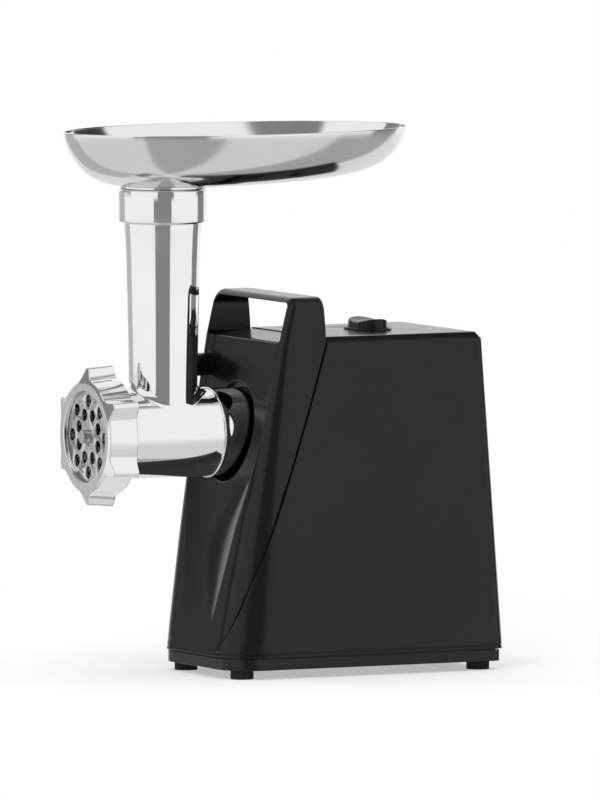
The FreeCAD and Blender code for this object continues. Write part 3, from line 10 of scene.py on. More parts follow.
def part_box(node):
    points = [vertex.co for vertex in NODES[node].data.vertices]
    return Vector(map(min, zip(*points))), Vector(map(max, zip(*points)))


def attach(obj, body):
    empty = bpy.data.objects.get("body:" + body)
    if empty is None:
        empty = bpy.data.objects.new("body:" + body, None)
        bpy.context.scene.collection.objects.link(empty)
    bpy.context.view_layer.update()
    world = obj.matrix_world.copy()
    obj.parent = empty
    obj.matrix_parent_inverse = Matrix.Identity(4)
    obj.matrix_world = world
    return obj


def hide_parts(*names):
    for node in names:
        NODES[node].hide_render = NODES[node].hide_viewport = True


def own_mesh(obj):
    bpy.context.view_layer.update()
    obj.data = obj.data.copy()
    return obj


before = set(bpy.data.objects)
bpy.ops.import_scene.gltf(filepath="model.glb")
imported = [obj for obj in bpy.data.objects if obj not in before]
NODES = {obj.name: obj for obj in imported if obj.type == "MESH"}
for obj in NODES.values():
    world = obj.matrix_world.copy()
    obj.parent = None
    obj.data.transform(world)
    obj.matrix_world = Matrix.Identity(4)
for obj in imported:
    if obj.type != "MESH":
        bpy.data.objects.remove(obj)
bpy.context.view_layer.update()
MM = 0.001


def low(node):
    return [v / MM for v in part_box(node)[0]]


def high(node):
    return [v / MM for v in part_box(node)[1]]


# Housing, its corners as (at the base, at the top)
_, FRONT_BASE_Y, SHELL_BOTTOM = low("rear_housing")
BASE_HALF, REAR_BASE_Y, CAD_TOP = high("rear_housing")
TOP_LIFT = 1.0
SHELL_TOP = CAD_TOP + TOP_LIFT
TOP_HALF = 56.4
FRONT_TOP_Y = -18.3
REAR_TOP_Y = 127.6
FRONT_BULGE = 1.5
FRONT_CORNER = (25.0, 4.5)
CORNER_STRETCH = 1.5
REAR_CORNER = (8.0, 5.0)
REAR_CORNER_LEAST = 0.5
TOP_FILLET = 4.8
TOP_ROUND = 1.3
SKIN = 2.2
GLAND_HOLE_R = 6.1
GLAND_X = -40.0
GLAND_Z = 60.0
GLAND_CUT_Y = (120.0, 160.0)

# Seam between front cover and housing, as (y, z), and the lip behind it
SEAM_TOP = (15.0, 220.0)
SEAM_MID = (-16.5, 120.5)
SEAM_FOOT_Z = 22.0
SEAM_GAP = 1.6
SEAM_FOOT_GAP = 0.5
SEAM_NARROW = 36.0
SEAM_ROUND = 0.8
SEAM_ROUND_ANGLE = 55.0
SEAM_SPREAD = 6.0
TONGUE_REACH = 4.0
TONGUE_DEPTH = (2.3, 3.1)

# Foot of the housing, its edge as (rise, inset), and the skirt of the base
JOINT_GAP = 0.9
FOOT_EDGE = [(0.0, 0.4), (0.15, 0.12), (0.4, 0.0)]
GROOVE_Z = 16.4
GROOVE_DEPTH = 0.5
GROOVE_FLOOR = 0.3
GROOVE_MOUTH = 0.5
GROOVE_LAND = 2.5
RIM_INSET = 1.88
RIM_WALL = 4.2
RIM_EDGE = 0.5
RIM_SHELF = 2.6
RIM_LIP = 2.4
RIM_GAP = 0.1
RIM_FOOT_Z = low("base_plate")[2]

# Front cover and handle; panel points as (half-width, z)
COVER_FOOT_Z = GROOVE_Z + 0.6
COVER_PROUD = 0.08
LEDGE_Z = 218.0
LEDGE_RISE = 2.4
LEDGE_ROUND = 2.0
LEDGE_CLEAR = 2.2
PANEL_RECESS = 3.0
PANEL_RECESS_POWER = 0.7
PANEL_FADE_Z = 36.0
PANEL_TOP_HALF = 50.6
PANEL_BEND_Z = 178.0
PANEL_MID = (46.0, 135.0)
PANEL_LOW = (35.5, 98.6)
PANEL_FOOT_HALF = 21.0
STRIP_LEAST = 0.5
CREASE_WIDTH = 4.5
COVE_WIDTH = 17.0
COVE_EXTRA = 1.0
COVE_Z = (34.0, 88.0, 142.0)
FAR_CREASE_WIDTH = 34.0
FAR_CREASE_Z = (110.0, 150.0)
HANDLE_TOP = high("front_cover")[2]
HANDLE_CORNER = 8.0
HANDLE_LEG = 4.7
HANDLE_BAR = 3.4
HANDLE_BEND = 1.6
HANDLE_FRONT_TOP_Y = -11.8
HANDLE_REAR_TOP_Y = 10.4
HANDLE_REAR_POWER = 1.6
HANDLE_EDGE_DEPTH = 0.4
HANDLE_EDGE_LEAST = 0.3

# Round well for the head, hole for the lock button, and the button's spring
WELL_R = 32.2
WELL_EDGE = 1.0
WELL_WALL = 2.3
WELL_REAR_Y = -19.6
LOCK_X = -41.4
LOCK_Z = 198.6
LOCK_HOLE_R = 8.7
COVER_CUT_Y = (-90.0, 20.0)
COIL_WIRE = 0.5
COIL_TURNS = 4
COIL_STEPS = 24
COIL_SIDES = 8

# Grinding head
AXIS_Z = 157.7
BARREL_R = 28.5
BARREL_BORE_R = 25.0
BARREL_REAR_Y = high("grinder_head")[1]
BARREL_REAR_WALL = 4.0
BARREL_ROUND = 1.0
BARREL_FRONT_Y = low("grinder_head")[1]
SHAFT_HOLE_R = 9.3
SEAT_R = 31.1
SEAT_DEPTH = 3.0
FLANGE_R = 32.8
FLANGE_REAR_Y = -112.0
FLANGE_ROUNDS = (0.6, 1.0, 2.0)
BEAD_Y = -45.6
BEAD_R = 29.5
BEAD_HALF = 0.9
BEAD_FOOT = 0.6
BEAD_FOOT_RISE = 0.15
BEAD_CLEAR = (6.0, 4.0)
TUBE_Y = -77.0
TUBE_FOOT_R = 22.4
TUBE_FOOT_Z = 190.0
TUBE_FOOT_POWER = 1.3
TUBE_FOOT_SINK = 1.2
TUBE_MID_R = 23.9
TUBE_MID_Z = 262.0
TUBE_TOP_R = 25.3
TUBE_TOP_POWER = 1.5
TUBE_BORE_R = 19.5
TUBE_BORE_Z = 240.0
TUBE_END_R = 26.6
TUBE_FILLET = 6.0
TUBE_CUT = 40.0
COLLAR_R = 28.9
COLLAR_BOTTOM = 295.4
COLLAR_TOP = 317.5
COLLAR_BORE_R = 24.0
COLLAR_FLOOR = 2.0
COLLAR_ROUNDS = (1.2, 1.8)
BORE_ROUND = 0.8
COLLAR_CLEAR = 1.0
COLLAR_LEAD = (0.3, 2.0)

# Ring nut
NUT_FRONT_Y = low("ring_nut")[1]
NUT_REAR_Y = high("ring_nut")[1]
NUT_LOBES = 6
NUT_TIP_R = 46.0
NUT_BASE_R = 38.6
NUT_FRONT_BASE_R = 36.9
NUT_TAPER = 1.3
NUT_TIP_HALF = radians(2.4)
NUT_FLANK_END = radians(17.0)
NUT_FLANK_POWER = 3.0
NUT_FACE_R = 34.6
NUT_FACE_TILT = radians(13.0)
NUT_FACE_ROUND = 4.0
NUT_EDGE = 0.9
NUT_REAR_EDGE = 0.7
NUT_OPENING_R = 29.7
NUT_LIP = 2.8
NUT_LIP_EDGE = 0.7
NUT_THREAD_R = 33.1

# Hole plate, its rings of holes as (radius, offset in holes)
PLATE_Y = (low("hole_plate")[1], high("hole_plate")[1])
PLATE_CUT_Y = (PLATE_Y[0] - 2.0, PLATE_Y[1] + 2.0)
PLATE_R = high("hole_plate")[0]
PLATE_PIN_HOLE_R = 4.6
PLATE_HOLE_R = 4.0
PLATE_HOLES = 8
PLATE_RINGS = [(23.2, 0.0), (14.8, 0.5)]
PLATE_NOTCH_R = 1.3
PLATE_EDGE = 0.35
PLATE_EDGE_ANGLE = 50.0

# Tray
TRAY_FRONT_REACH = 67.0
TRAY_REAR_REACH = 172.2
TRAY_HALF_WIDTH = 71.0
TRAY_FLAT_R = 28.0
TRAY_RIM_Z = high("hopper_tray")[2]
TRAY_FLOOR_Z = low("hopper_tray")[2]
TRAY_FRONT_POWER = 3.9
TRAY_SIDE_POWER = 5.0
TRAY_REAR_POWER = 11.0
TRAY_SLOPE = 0.4
TRAY_SLOPE_POWER = 3.0
TRAY_CURL = 0.667
TRAY_SHEET = 1.0
TRAY_HOLE_R = 22.5
TRAY_CUT_Z = (300.0, 340.0)

# Switch, with ovals as (half-length, half-width)
SWITCH_Y = 72.0
ROCKER_HALF = (16.0, 10.0)
ROCKER_LOW_Z = 216.0
ROCKER_END_Z = 228.8
ROCKER_MID_Z = 226.2
ROCKER_EDGE = 1.3
BEZEL_HALF = (19.2, 12.5)
BEZEL_OPEN = (17.4, 10.4)
BEZEL_THICK = 1.2
BEZEL_EDGE = 0.5
BEZEL_DEPTH = 12.0
BEZEL_WALL = 1.3
SWITCH_HOLE = 1.4
SWITCH_CUT = (-9.0, 3.0)

# Rows, columns and sharp edges of the meshes
ROUND_SIDES = 160
TOOL_SIDES = 96
HOLE_SIDES = 40
OVAL_SIDES = 96
EDGE_STEPS = 4
ROUND_STEPS = 6
HALF_ROUND_STEPS = 8
SEAM_COLUMNS = 26
SIDE_COLUMNS = 10
CORNER_COLUMNS = 8
BACK_COLUMNS = 5
PLINTH_COLUMNS = 8
SHELL_ROWS = 44
TOP_ROUND_STEPS = 3
PANEL_COLUMNS = 44
STRIP_COLUMNS = 22
STRIP_ROWS = 92
TONGUE_COLUMNS = 10
TONGUE_SPLIT = 4
HANDLE_ROWS = 48
ROCKER_STEPS = 5
ROCKER_RINGS = 14
BLEND_STEPS = 10
TUBE_ROWS = 24
NUT_COLUMNS = 720
NUT_SOFT_ROUNDS = 2
TRAY_COLUMNS = 192
TRAY_ROWS = 56
TRAY_CROWDING = 2.2
TRAY_HOLE_SIDES = 128
SHARP = 40.0
METAL_SHARP = 30.0
COIL_SHARP = 50.0
WELD_DISTANCE = 0.00002
SLIVER = 0.00001

# Materials, with noise scales per metre
RAMP_ENDS = (0.3, 0.7)
PLASTIC_TONE_SCALE = 22.0
PLASTIC_GLOSS_SCALE = 60.0
PLASTIC_SPECULAR = 0.3
PLASTIC_BUMP = 0.35
POLISH_TONE_SCALE = 14.0
POLISH_HAZE_SCALE = 45.0
GRAIN_SCALE = 900.0
GRAIN_GLOSS = 0.08
GRAIN_BUMP = (0.2, 0.02)

# Camera, fitted to the photograph: a very long lens from the front right, just above level
AZIMUTH = radians(63.0)
ELEVATION = radians(4.2)
CAMERA_DISTANCE = 14.0
FRAME_HEIGHT = 0.520
SENSOR = 36.0
AIM_RIGHT = 0.0202
AIM_UP = 0.1766

# Studio: lamps as (name, place, aim, side, power) and a floor that fades to white
LAMPS = [("key_light", (1.5, -1.3, 1.7), (0.0, 0.0, 0.18), 1.3, 22.0),
         ("fill_light", (-1.3, -1.7, 1.2), (0.0, 0.0, 0.18), 1.3, 10.0),
         ("top_light", (0.1, 0.3, 2.1), (0.0, 0.0, 0.2), 1.8, 22.0)]
WORLD_LIGHT = 0.62
FLOOR_RADIUS = 1.1
FLOOR_SIDES = 64
FLOOR_TONES = (0.84, 0.87)
FLOOR_TONE_SCALE = 3.0
FLOOR_ROUGHNESS = 0.9
FLOOR_FADE = (0.28, 0.7)
FLOOR_VEIL = 0.45

# The panels that mirrors see, as (degrees from +X towards +Y, brightness from there on)
HIGH_BANDS = [(-180.0, 1.0), (-160.0, 0.25), (-118.0, 1.0), (-40.0, 0.25), (2.0, 1.0),
              (70.0, 0.05), (107.0, 1.0)]
LEVEL_BANDS = [(-180.0, 0.53), (-143.0, 1.0), (-50.0, 0.25), (-4.0, 1.0), (76.0, 0.25),
               (105.0, 1.0)]
LOW_BANDS = [(-180.0, 0.8), (-172.0, 0.5), (-135.0, 0.72), (-41.0, 0.42), (4.0, 0.72),
             (55.0, 0.42), (100.0, 0.8)]
BAND_BLUR = 0.003
HIGH_RISE = (-0.02, 0.04)
LOW_FALL = (-0.1, -0.42)


# Number and point helpers
def spread(first, last, count):
    """Even steps from one value to another, both included."""
    return [first + (last - first) * i / count for i in range(count + 1)]


def between(first, last, share):
    return first + (last - first) * share


def turns(count):
    """Angles that divide a full turn."""
    return [2 * pi * i / count for i in range(count)]


def quarter(steps):
    """Angles from 0 to a right angle."""
    return [pi / 2 * k / steps for k in range(steps + 1)]


def half_round():
    """Angles between 0 and a half turn."""
    return [pi * k / HALF_ROUND_STEPS for k in range(1, HALF_ROUND_STEPS)]


def circle(radius, count=ROUND_SIDES):
    return [(radius * cos(a), radius * sin(a)) for a in turns(count)]


def smooth_step(t):
    t = min(max(t, 0.0), 1.0)
    return t * t * (3.0 - 2.0 * t)


def joined(rows):
    return [p for row in rows for p in row]


def rounded_path(corners):
    """A path of straight runs; each corner (a, b, radius) is rounded by that radius."""
    path = []
    for i, (a, b, radius) in enumerate(corners):
        here = Vector((a, b))
        if radius <= 0 or i == 0 or i == len(corners) - 1:
            path.append(here)
            continue
        to_last = (Vector(corners[i - 1][:2]) - here).normalized()
        to_next = (Vector(corners[i + 1][:2]) - here).normalized()
        half = to_last.angle(to_next) / 2
        reach = radius / tan(half)
        centre = here + (to_last + to_next).normalized() * (radius / sin(half))
        first = here + to_last * reach - centre
        last = here + to_next * reach - centre
        turn = first.angle_signed(last)
        for k in range(ROUND_STEPS + 1):
            angle = -turn * k / ROUND_STEPS
            spun = Vector((first.x * cos(angle) - first.y * sin(angle),
                           first.x * sin(angle) + first.y * cos(angle)))
            path.append(centre + spun)
    return path


# Shapes, each as its points and faces
def grid_faces(rows, cols, wrap=False, close=False):
    """Quads of a grid of rows; wrap joins its last column to the first, close its last row."""
    faces = []
    for i in range(rows if close else rows - 1):
        a = i * cols
        b = ((i + 1) % rows) * cols
        for j in range(cols if wrap else cols - 1):
            k = (j + 1) % cols
            faces.append((a + j, a + k, b + k, b + j))
    return faces


def hoop(rows):
    """A ring-shaped solid; the rows run round it, one for each point of its section."""
    return joined(rows), grid_faces(len(rows), len(rows[0]), wrap=True, close=True)


def prism(rings):
    """A solid with a flat cap on the first and on the last of its rings."""
    count, sides = len(rings), len(rings[0])
    caps = [tuple(range(sides)), tuple(range((count - 1) * sides, count * sides))]
    return joined(rings), grid_faces(count, sides, wrap=True) + caps


def rod(radius, place, span, sides):
    """A round bar over a span of one axis; place has None for that axis."""
    axis = place.index(None)
    across = [i for i in range(3) if i != axis]
    rings = []
    for end in span:
        ring = []
        for offsets in circle(radius, sides):
            point = list(place)
            point[axis] = end
            for i, offset in zip(across, offsets):
                point[i] += offset
            ring.append(point)
        rings.append(ring)
    return prism(rings)


def shell_of(outer, inner):
    """A closed shell from two grids of rows, joined along their edges."""
    rows, cols = len(outer), len(outer[0])
    count = rows * cols
    faces = grid_faces(rows, cols)
    faces += [tuple(count + i for i in reversed(face)) for face in faces]
    for i in range(rows - 1):
        a, b = i * cols, (i + 1) * cols
        faces.append((a, b, count + b, count + a))
        a, b = a + cols - 1, b + cols - 1
        faces.append((b, a, count + a, count + b))
    for j in range(cols - 1):
        faces.append((j + 1, j, count + j, count + j + 1))
        a = count - cols + j
        faces.append((a, a + 1, count + a + 1, count + a))
    return joined(outer) + joined(inner), faces


# Objects
def add_object(name, data):
    obj = bpy.data.objects.new(name, data)
    bpy.context.collection.objects.link(obj)
    return obj


def mesh_object(name, shape):
    points, faces = shape
    mesh = bpy.data.meshes.new(name)
    mesh.from_pydata([Vector(p) * MM for p in points], [], faces)
    return add_object(name, mesh)


def clean(mesh, weld=False, outward=True):
    """Welds double points and points the faces outward."""
    work = bmesh.new()
    work.from_mesh(mesh)
    if weld:
        bmesh.ops.remove_doubles(work, verts=work.verts, dist=WELD_DISTANCE)
        bmesh.ops.dissolve_degenerate(work, edges=work.edges, dist=SLIVER)
    if outward:
        bmesh.ops.recalc_face_normals(work, faces=work.faces)
    work.to_mesh(mesh)
    work.free()


def shade(mesh, sharp):
    """Shades smooth, and keeps the edges that turn by more than an angle in degrees."""
    for face in mesh.polygons:
        face.use_smooth = True
    mesh.set_sharp_from_angle(angle=radians(sharp))


def add_piece(name, shape, body, slot, replaces=(), sharp=SHARP, outward=True):
    obj = mesh_object(name, shape)
    clean(obj.data, weld=True, outward=outward)
    shade(obj.data, sharp)
    obj.data.materials.append(MATERIALS[slot])
    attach(obj, body)
    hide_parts(*replaces)
    return obj


def add_bevel(obj, width, angle):
    bevel = obj.modifiers.new("edge", "BEVEL")
    bevel.width = width * MM
    bevel.segments = 2
    bevel.limit_method = "ANGLE"
    bevel.angle_limit = radians(angle)


def cut(obj, shape):
    """Takes a shape out of a piece, once the piece is baked."""
    tool = mesh_object("tool", shape)
    clean(tool.data)
    modifier = obj.modifiers.new("cut", "BOOLEAN")
    modifier.object = tool
    modifier.operation = "DIFFERENCE"
    modifier.solver = "EXACT"


def cut_rod(obj, radius, place, span, sides=TOOL_SIDES):
    cut(obj, rod(radius, place, span, sides))


def bake(obj, sharp=SHARP):
    """Applies a piece's modifiers for good and removes the tools that cut it."""
    tools = [m.object for m in obj.modifiers if m.type == "BOOLEAN"]
    graph = bpy.context.evaluated_depsgraph_get()
    graph.update()
    mesh = bpy.data.meshes.new_from_object(obj.evaluated_get(graph))
    obj.modifiers.clear()
    obj.data = mesh
    for tool in tools:
        bpy.data.objects.remove(tool)
    shade(mesh, sharp)


# Node materials
def node_material(name):
    material = bpy.data.materials.new(name)
    material.use_nodes = True
    tree = material.node_tree
    return material, tree, tree.nodes["Principled BSDF"]


def add_node(tree, kind, sockets=(), **settings):
    """A node of one kind, with its own settings and values for its sockets."""
    node = tree.nodes.new("ShaderNode" + kind)
    for name, value in settings.items():
        setattr(node, name, value)
    for name, value in dict(sockets).items():
        node.inputs[name].default_value = value
    return node


def add_nodes(tree, *kinds):
    return [add_node(tree, kind) for kind in kinds]


def wire(tree, *links):
    """Joins nodes; each link is (node, output, node, input)."""
    for source, output, target, socket in links:
        tree.links.new(source.outputs[output], target.inputs[socket])


def noise(tree, scale, detail=4.0, rough=0.55, stretch=(1.0, 1.0, 1.0)):
    place = add_node(tree, "TexCoord")
    mapping = add_node(tree, "Mapping", {"Scale": stretch})
    texture = add_node(tree, "TexNoise", {"Scale": scale, "Detail": detail, "Roughness": rough})
    wire(tree, (place, "Object", mapping, "Vector"), (mapping, "Vector", texture, "Vector"))
    return texture


def colour(tone):
    """A colour with its alpha, from a grey or from (red, green, blue)."""
    return (*(tone if isinstance(tone, tuple) else (tone,) * 3), 1.0)


def ramp(tree, texture, dark, light):
    node = add_node(tree, "ValToRGB")
    for stop, position, tone in zip(node.color_ramp.elements, RAMP_ENDS, (dark, light)):
        stop.position, stop.color = position, colour(tone)
    wire(tree, (texture, "Fac", node, "Fac"))
    return node


def paint(tree, shader, tone, gloss):
    wire(tree, (tone, "Color", shader, "Base Color"), (gloss, "Color", shader, "Roughness"))


def bump(tree, shader, texture, strength, distance):
    node = add_node(tree, "Bump", {"Strength": strength, "Distance": distance * MM})
    wire(tree, (texture, "Fac", node, "Height"), (node, "Normal", shader, "Normal"))


def moulded_plastic(name, dark, light, rough_low, rough_high, grain=2600.0, depth=0.03):
    """Moulded plastic: a fine spark-eroded grain, with slight drifts of shade and gloss."""
    material, tree, shader = node_material(name)
    paint(tree, shader, ramp(tree, noise(tree, PLASTIC_TONE_SCALE), dark, light),
          ramp(tree, noise(tree, PLASTIC_GLOSS_SCALE), rough_low, rough_high))
    shader.inputs["Specular IOR Level"].default_value = PLASTIC_SPECULAR
    bump(tree, shader, noise(tree, grain, 2.0), PLASTIC_BUMP, depth)
    return material


def polished_metal(name, dark, light, rough_low, rough_high):
    """Buffed metal: nearly a mirror, with faint polishing haze."""
    material, tree, shader = node_material(name)
    paint(tree, shader, ramp(tree, noise(tree, POLISH_TONE_SCALE), dark, light),
          ramp(tree, noise(tree, POLISH_HAZE_SCALE, 6.0), rough_low, rough_high))
    shader.inputs["Metallic"].default_value = 1.0
    return material


def worked_metal(name, dark, light, rough, stretch):
    """Ground, drawn or cast metal with a directional or cloudy grain."""
    material, tree, shader = node_material(name)
    grain = noise(tree, GRAIN_SCALE, 3.0, 0.6, stretch)
    paint(tree, shader, ramp(tree, grain, dark, light),
          ramp(tree, grain, rough - GRAIN_GLOSS, rough + GRAIN_GLOSS))
    shader.inputs["Metallic"].default_value = 1.0
    bump(tree, shader, grain, *GRAIN_BUMP)
    return material


# Each finish: dark and light tone, roughness, and where it differs the grain
EVEN = (1.0, 1.0, 1.0)
ALONG_Y = (1.0, 0.05, 1.0)
SHEETS = (1.0, 0.02, 1.0)
FINISHES = {
    moulded_plastic: {
        "black_plastic": (0.0042, 0.0056, 0.18, 0.22, 2600.0, 0.014),
        "switch_plastic": (0.0030, 0.0042, 0.22, 0.30, 1800.0, 0.01),
        "rubber": (0.012, 0.02, 0.7, 0.85, 900.0, 0.05),
        "gear_nylon": ((0.62, 0.60, 0.53), (0.72, 0.70, 0.63), 0.4, 0.5),
        "carbon": (0.02, 0.04, 0.5, 0.7),
        "holder_plastic": ((0.10, 0.08, 0.06), (0.14, 0.12, 0.10), 0.45, 0.6)},
    polished_metal: {
        "polished_metal": (0.83, 0.87, 0.025, 0.045),
        "tray_steel": (0.79, 0.84, 0.10, 0.13),
        "cutting_steel": (0.66, 0.74, 0.14, 0.2)},
    worked_metal: {
        "cast_aluminium": (0.60, 0.72, 0.3, EVEN),
        "steel": (0.45, 0.58, 0.3, ALONG_Y),
        "bronze": ((0.50, 0.32, 0.15), (0.62, 0.42, 0.21), 0.38, EVEN),
        "laminations": (0.24, 0.38, 0.45, SHEETS),
        "copper": ((0.60, 0.26, 0.12), (0.75, 0.38, 0.20), 0.33, ALONG_Y)}}
MATERIALS = {name: make(name, *values)
             for make, kinds in FINISHES.items() for name, values in kinds.items()}


# Housing outline
def along(foot, top, z):
    return foot + (top - foot) * (z - SHELL_BOTTOM) / (SHELL_TOP - SHELL_BOTTOM)


def front_y(z):
    bulge = FRONT_BULGE * sin(pi * (z - SHELL_BOTTOM) / (LEDGE_Z - SHELL_BOTTOM))
    return along(FRONT_BASE_Y, FRONT_TOP_Y, z) - max(bulge, 0.0)


def half_x(z):
    return along(BASE_HALF, TOP_HALF, z)


def arc_circle(p, q, r):
    """Centre and radius of the circle through three points."""
    ax, ay = q[0] - p[0], q[1] - p[1]
    bx, by = r[0] - p[0], r[1] - p[1]
    d = 2 * (ax * by - ay * bx)
    ux = (by * (ax * ax + ay * ay) - ay * (bx * bx + by * by)) / d
    uy = (ax * (bx * bx + by * by) - bx * (ax * ax + ay * ay)) / d
    return p[0] + ux, p[1] + uy, hypot(ux, uy)


def arc_at(arc, beside, z):
    """Where an arc passes one height, on the side of a value beside its centre."""
    centre, centre_z, radius = arc
    side = 1.0 if centre < beside else -1.0
    return centre + side * sqrt(max(radius ** 2 - (z - centre_z) ** 2, 0.0))


SEAM = arc_circle(SEAM_TOP, SEAM_MID, (front_y(SEAM_FOOT_Z), SEAM_FOOT_Z))
CREASE = arc_circle((PANEL_TOP_HALF, PANEL_BEND_Z), PANEL_MID, PANEL_LOW)


def seam_y(z):
    """The slanted seam between front cover and housing, an arc seen from the side."""
    return arc_at(SEAM, SEAM_MID[0], z)


class Outline:
    """Half of the housing's outline at one height, from the front centre to the rear centre."""

    def __init__(self, z, inset=0.0, stretch=CORNER_STRETCH):
        self.z = z
        self.hx = half_x(z) - inset
        self.front = front_y(z)
        self.rear = along(REAR_BASE_Y, REAR_TOP_Y, z) - inset
        self.rf = along(*FRONT_CORNER, min(max(z, SHELL_BOTTOM), SHELL_TOP))
        self.rl = self.rf * stretch
        self.mean = (self.rf + self.rl) / 2
        self.rr = max(along(*REAR_CORNER, z) - inset, REAR_CORNER_LEAST)
        self.flat = self.hx - self.rf
        self.corner = self.flat + self.mean * pi / 2
        self.side = self.corner + (self.rear - self.rr) - (self.front + self.rl)
        self.back = self.side + self.rr * pi / 2
        self.end = self.back + self.hx - self.rr

    def point(self, u):
        """(x, y, inward normal x, inward normal y) at arc length u."""
        if u <= self.flat:
            return u, self.front, 0.0, 1.0
        if u <= self.corner:
            a = (u - self.flat) / self.mean
            across, forth = self.rl * sin(a), self.rf * cos(a)
            size = hypot(across, forth)
            return (self.flat + self.rf * sin(a), self.front + self.rl * (1 - cos(a)),
                    -across / size, forth / size)
        if u <= self.side:
            return self.hx, self.front + self.rl + u - self.corner, -1.0, 0.0
        if u <= self.back:
            a = (u - self.side) / self.rr
            return (self.hx - self.rr * (1 - cos(a)),
                    self.rear - self.rr + self.rr * sin(a), -cos(a), -sin(a))
        return self.hx - self.rr - (u - self.back), self.rear, 0.0, -1.0

    def at_y(self, y):
        """Arc length where the outline passes a given y, on its front corner or side."""
        if y <= self.front:
            return self.flat
        if y < self.front + self.rl:
            return self.flat + self.mean * acos((self.front + self.rl - y) / self.rl)
        return self.corner + y - self.front - self.rl

    def at_x(self, x):
        """Arc length where the outline passes a given x, on its front face or front corner."""
        if x <= self.flat:
            return x
        return self.flat + self.mean * asin(min((x - self.flat) / self.rf, 1.0))

    def at_seam(self):
        return self.at_y(max(seam_y(self.z), self.front))


# Rear housing
def rear_lengths(outline, start):
    """Arc lengths of the housing's columns from the seam round to the rear centre."""
    bend = max(outline.corner, start) + SEAM_SPREAD
    stops = [start, bend, outline.side, outline.back, outline.end]
    lengths = []
    for i, count in enumerate((SEAM_COLUMNS, SIDE_COLUMNS, CORNER_COLUMNS, BACK_COLUMNS)):
        lengths += spread(stops[i], stops[i + 1], count)[:-1]
    return lengths + [outline.end]


def rear_row(z, height, inset=0.0):
    outline = Outline(z, inset)
    spots = [outline.point(u) for u in rear_lengths(outline, outline.at_seam())]
    half = [(x, y, height) for x, y, _, _ in spots]
    return half + [(-x, y, height) for x, y, _ in reversed(half[:-1])]


def plinth_row(z, inset, stretch=CORNER_STRETCH):
    """A whole turn round the foot of the housing, below the front cover."""
    outline = Outline(z, 0.0, stretch)
    front = spread(0.0, outline.flat, PLINTH_COLUMNS)[:-1]
    half = []
    for u in front + rear_lengths(outline, outline.flat):
        x, y, nx, ny = outline.point(u)
        half.append((x + nx * inset, y + ny * inset, z))
    return half + [(-x, y, h) for x, y, h in reversed(half[1:-1])]


def top_edge():
    """(inset, rise) along the housing's top edge: a chamfer with a rounded end on each side."""
    angles = [pi / 4 * k / TOP_ROUND_STEPS for k in range(TOP_ROUND_STEPS + 1)]
    start = [(TOP_ROUND * (1 - cos(a)), TOP_ROUND * sin(a)) for a in angles]
    return start + [(TOP_FILLET - rise, TOP_FILLET - inset) for inset, rise in reversed(start)]


def rear_housing():
    wall_top = SHELL_TOP - TOP_FILLET
    rows = [rear_row(z, z) for z in spread(SEAM_FOOT_Z, wall_top, SHELL_ROWS)]
    rows += [rear_row(wall_top, wall_top + rise, inset) for inset, rise in top_edge()[1:]]
    cols = len(rows[0])
    faces = grid_faces(len(rows), cols)
    foot = SHELL_BOTTOM + JOINT_GAP
    section = [(foot + rise, inset) for rise, inset in FOOT_EDGE]
    section += [(GROOVE_Z - GROOVE_MOUTH, 0.0), (GROOVE_Z - GROOVE_FLOOR, GROOVE_DEPTH),
                (GROOVE_Z + GROOVE_FLOOR, GROOVE_DEPTH), (GROOVE_Z + GROOVE_MOUTH, 0.0),
                (GROOVE_Z + GROOVE_LAND, 0.0), (SEAM_FOOT_Z, 0.0)]
    plinth = [plinth_row(z, inset) for z, inset in section]
    base = len(rows) * cols
    faces += [tuple(base + i for i in face)
              for face in grid_faces(len(plinth), len(plinth[0]), wrap=True)]
    faces.append(tuple(range(base - cols, base)))
    obj = add_piece("housing_shell", (joined(rows + plinth), faces), "housing", "black_plastic",
                    ["rear_housing"], outward=False)
    face_outward(obj.data)
    wall = obj.modifiers.new("wall", "SOLIDIFY")
    wall.thickness = SKIN * MM
    wall.offset = -1.0
    wall.use_even_offset = True
    cut(obj, prism([oval_ring(BEZEL_OPEN, SWITCH_HOLE, SHELL_TOP + rise) for rise in SWITCH_CUT]))
    cut_rod(obj, GLAND_HOLE_R, (GLAND_X, None, GLAND_Z), GLAND_CUT_Y)
    add_bevel(obj, SEAM_ROUND, SEAM_ROUND_ANGLE)
    bake(obj)


def face_outward(mesh):
    """Turns an open skin's faces away from the middle of the housing."""
    clean(mesh)
    middle = Vector((0.0, (FRONT_BASE_Y + REAR_BASE_Y) / 2, (SHELL_BOTTOM + SHELL_TOP) / 2)) * MM
    votes = sum((face.center - middle).dot(face.normal) * face.area for face in mesh.polygons)
    if votes < 0:
        mesh.flip_normals()


def base_rim():
    """The skirt of the base, which hides the plate's underside from the side."""
    edge = RIM_FOOT_Z + RIM_EDGE
    shelf = SHELL_BOTTOM - RIM_GAP
    section = [(RIM_SHELF, shelf + RIM_LIP), (RIM_SHELF, shelf), (0.0, shelf), (0.0, edge)]
    section += [(RIM_EDGE * (1 - cos(a)), edge - RIM_EDGE * sin(a))
                for a in quarter(EDGE_STEPS)[1:]]
    section += [(RIM_WALL, RIM_FOOT_Z), (RIM_WALL, shelf + RIM_LIP)]
    rows = [[(x, y, height) for x, y, _ in plinth_row(SHELL_BOTTOM, RIM_INSET + inset, 1.0)]
            for inset, height in section]
    add_piece("base_rim", hoop(rows), "housing", "black_plastic")


# Front cover
COVER_HEIGHTS = spread(COVER_FOOT_Z, LEDGE_Z, STRIP_ROWS)


def crease_x(z):
    """Half-width of the recessed panel at one height."""
    if z >= PANEL_BEND_Z:
        return PANEL_TOP_HALF
    if z >= PANEL_LOW[1]:
        return arc_at(CREASE, PANEL_TOP_HALF, z)
    share = (z - PANEL_FADE_Z) / (PANEL_LOW[1] - PANEL_FADE_Z)
    return between(PANEL_FOOT_HALF, PANEL_LOW[0], max(share, 0.0))


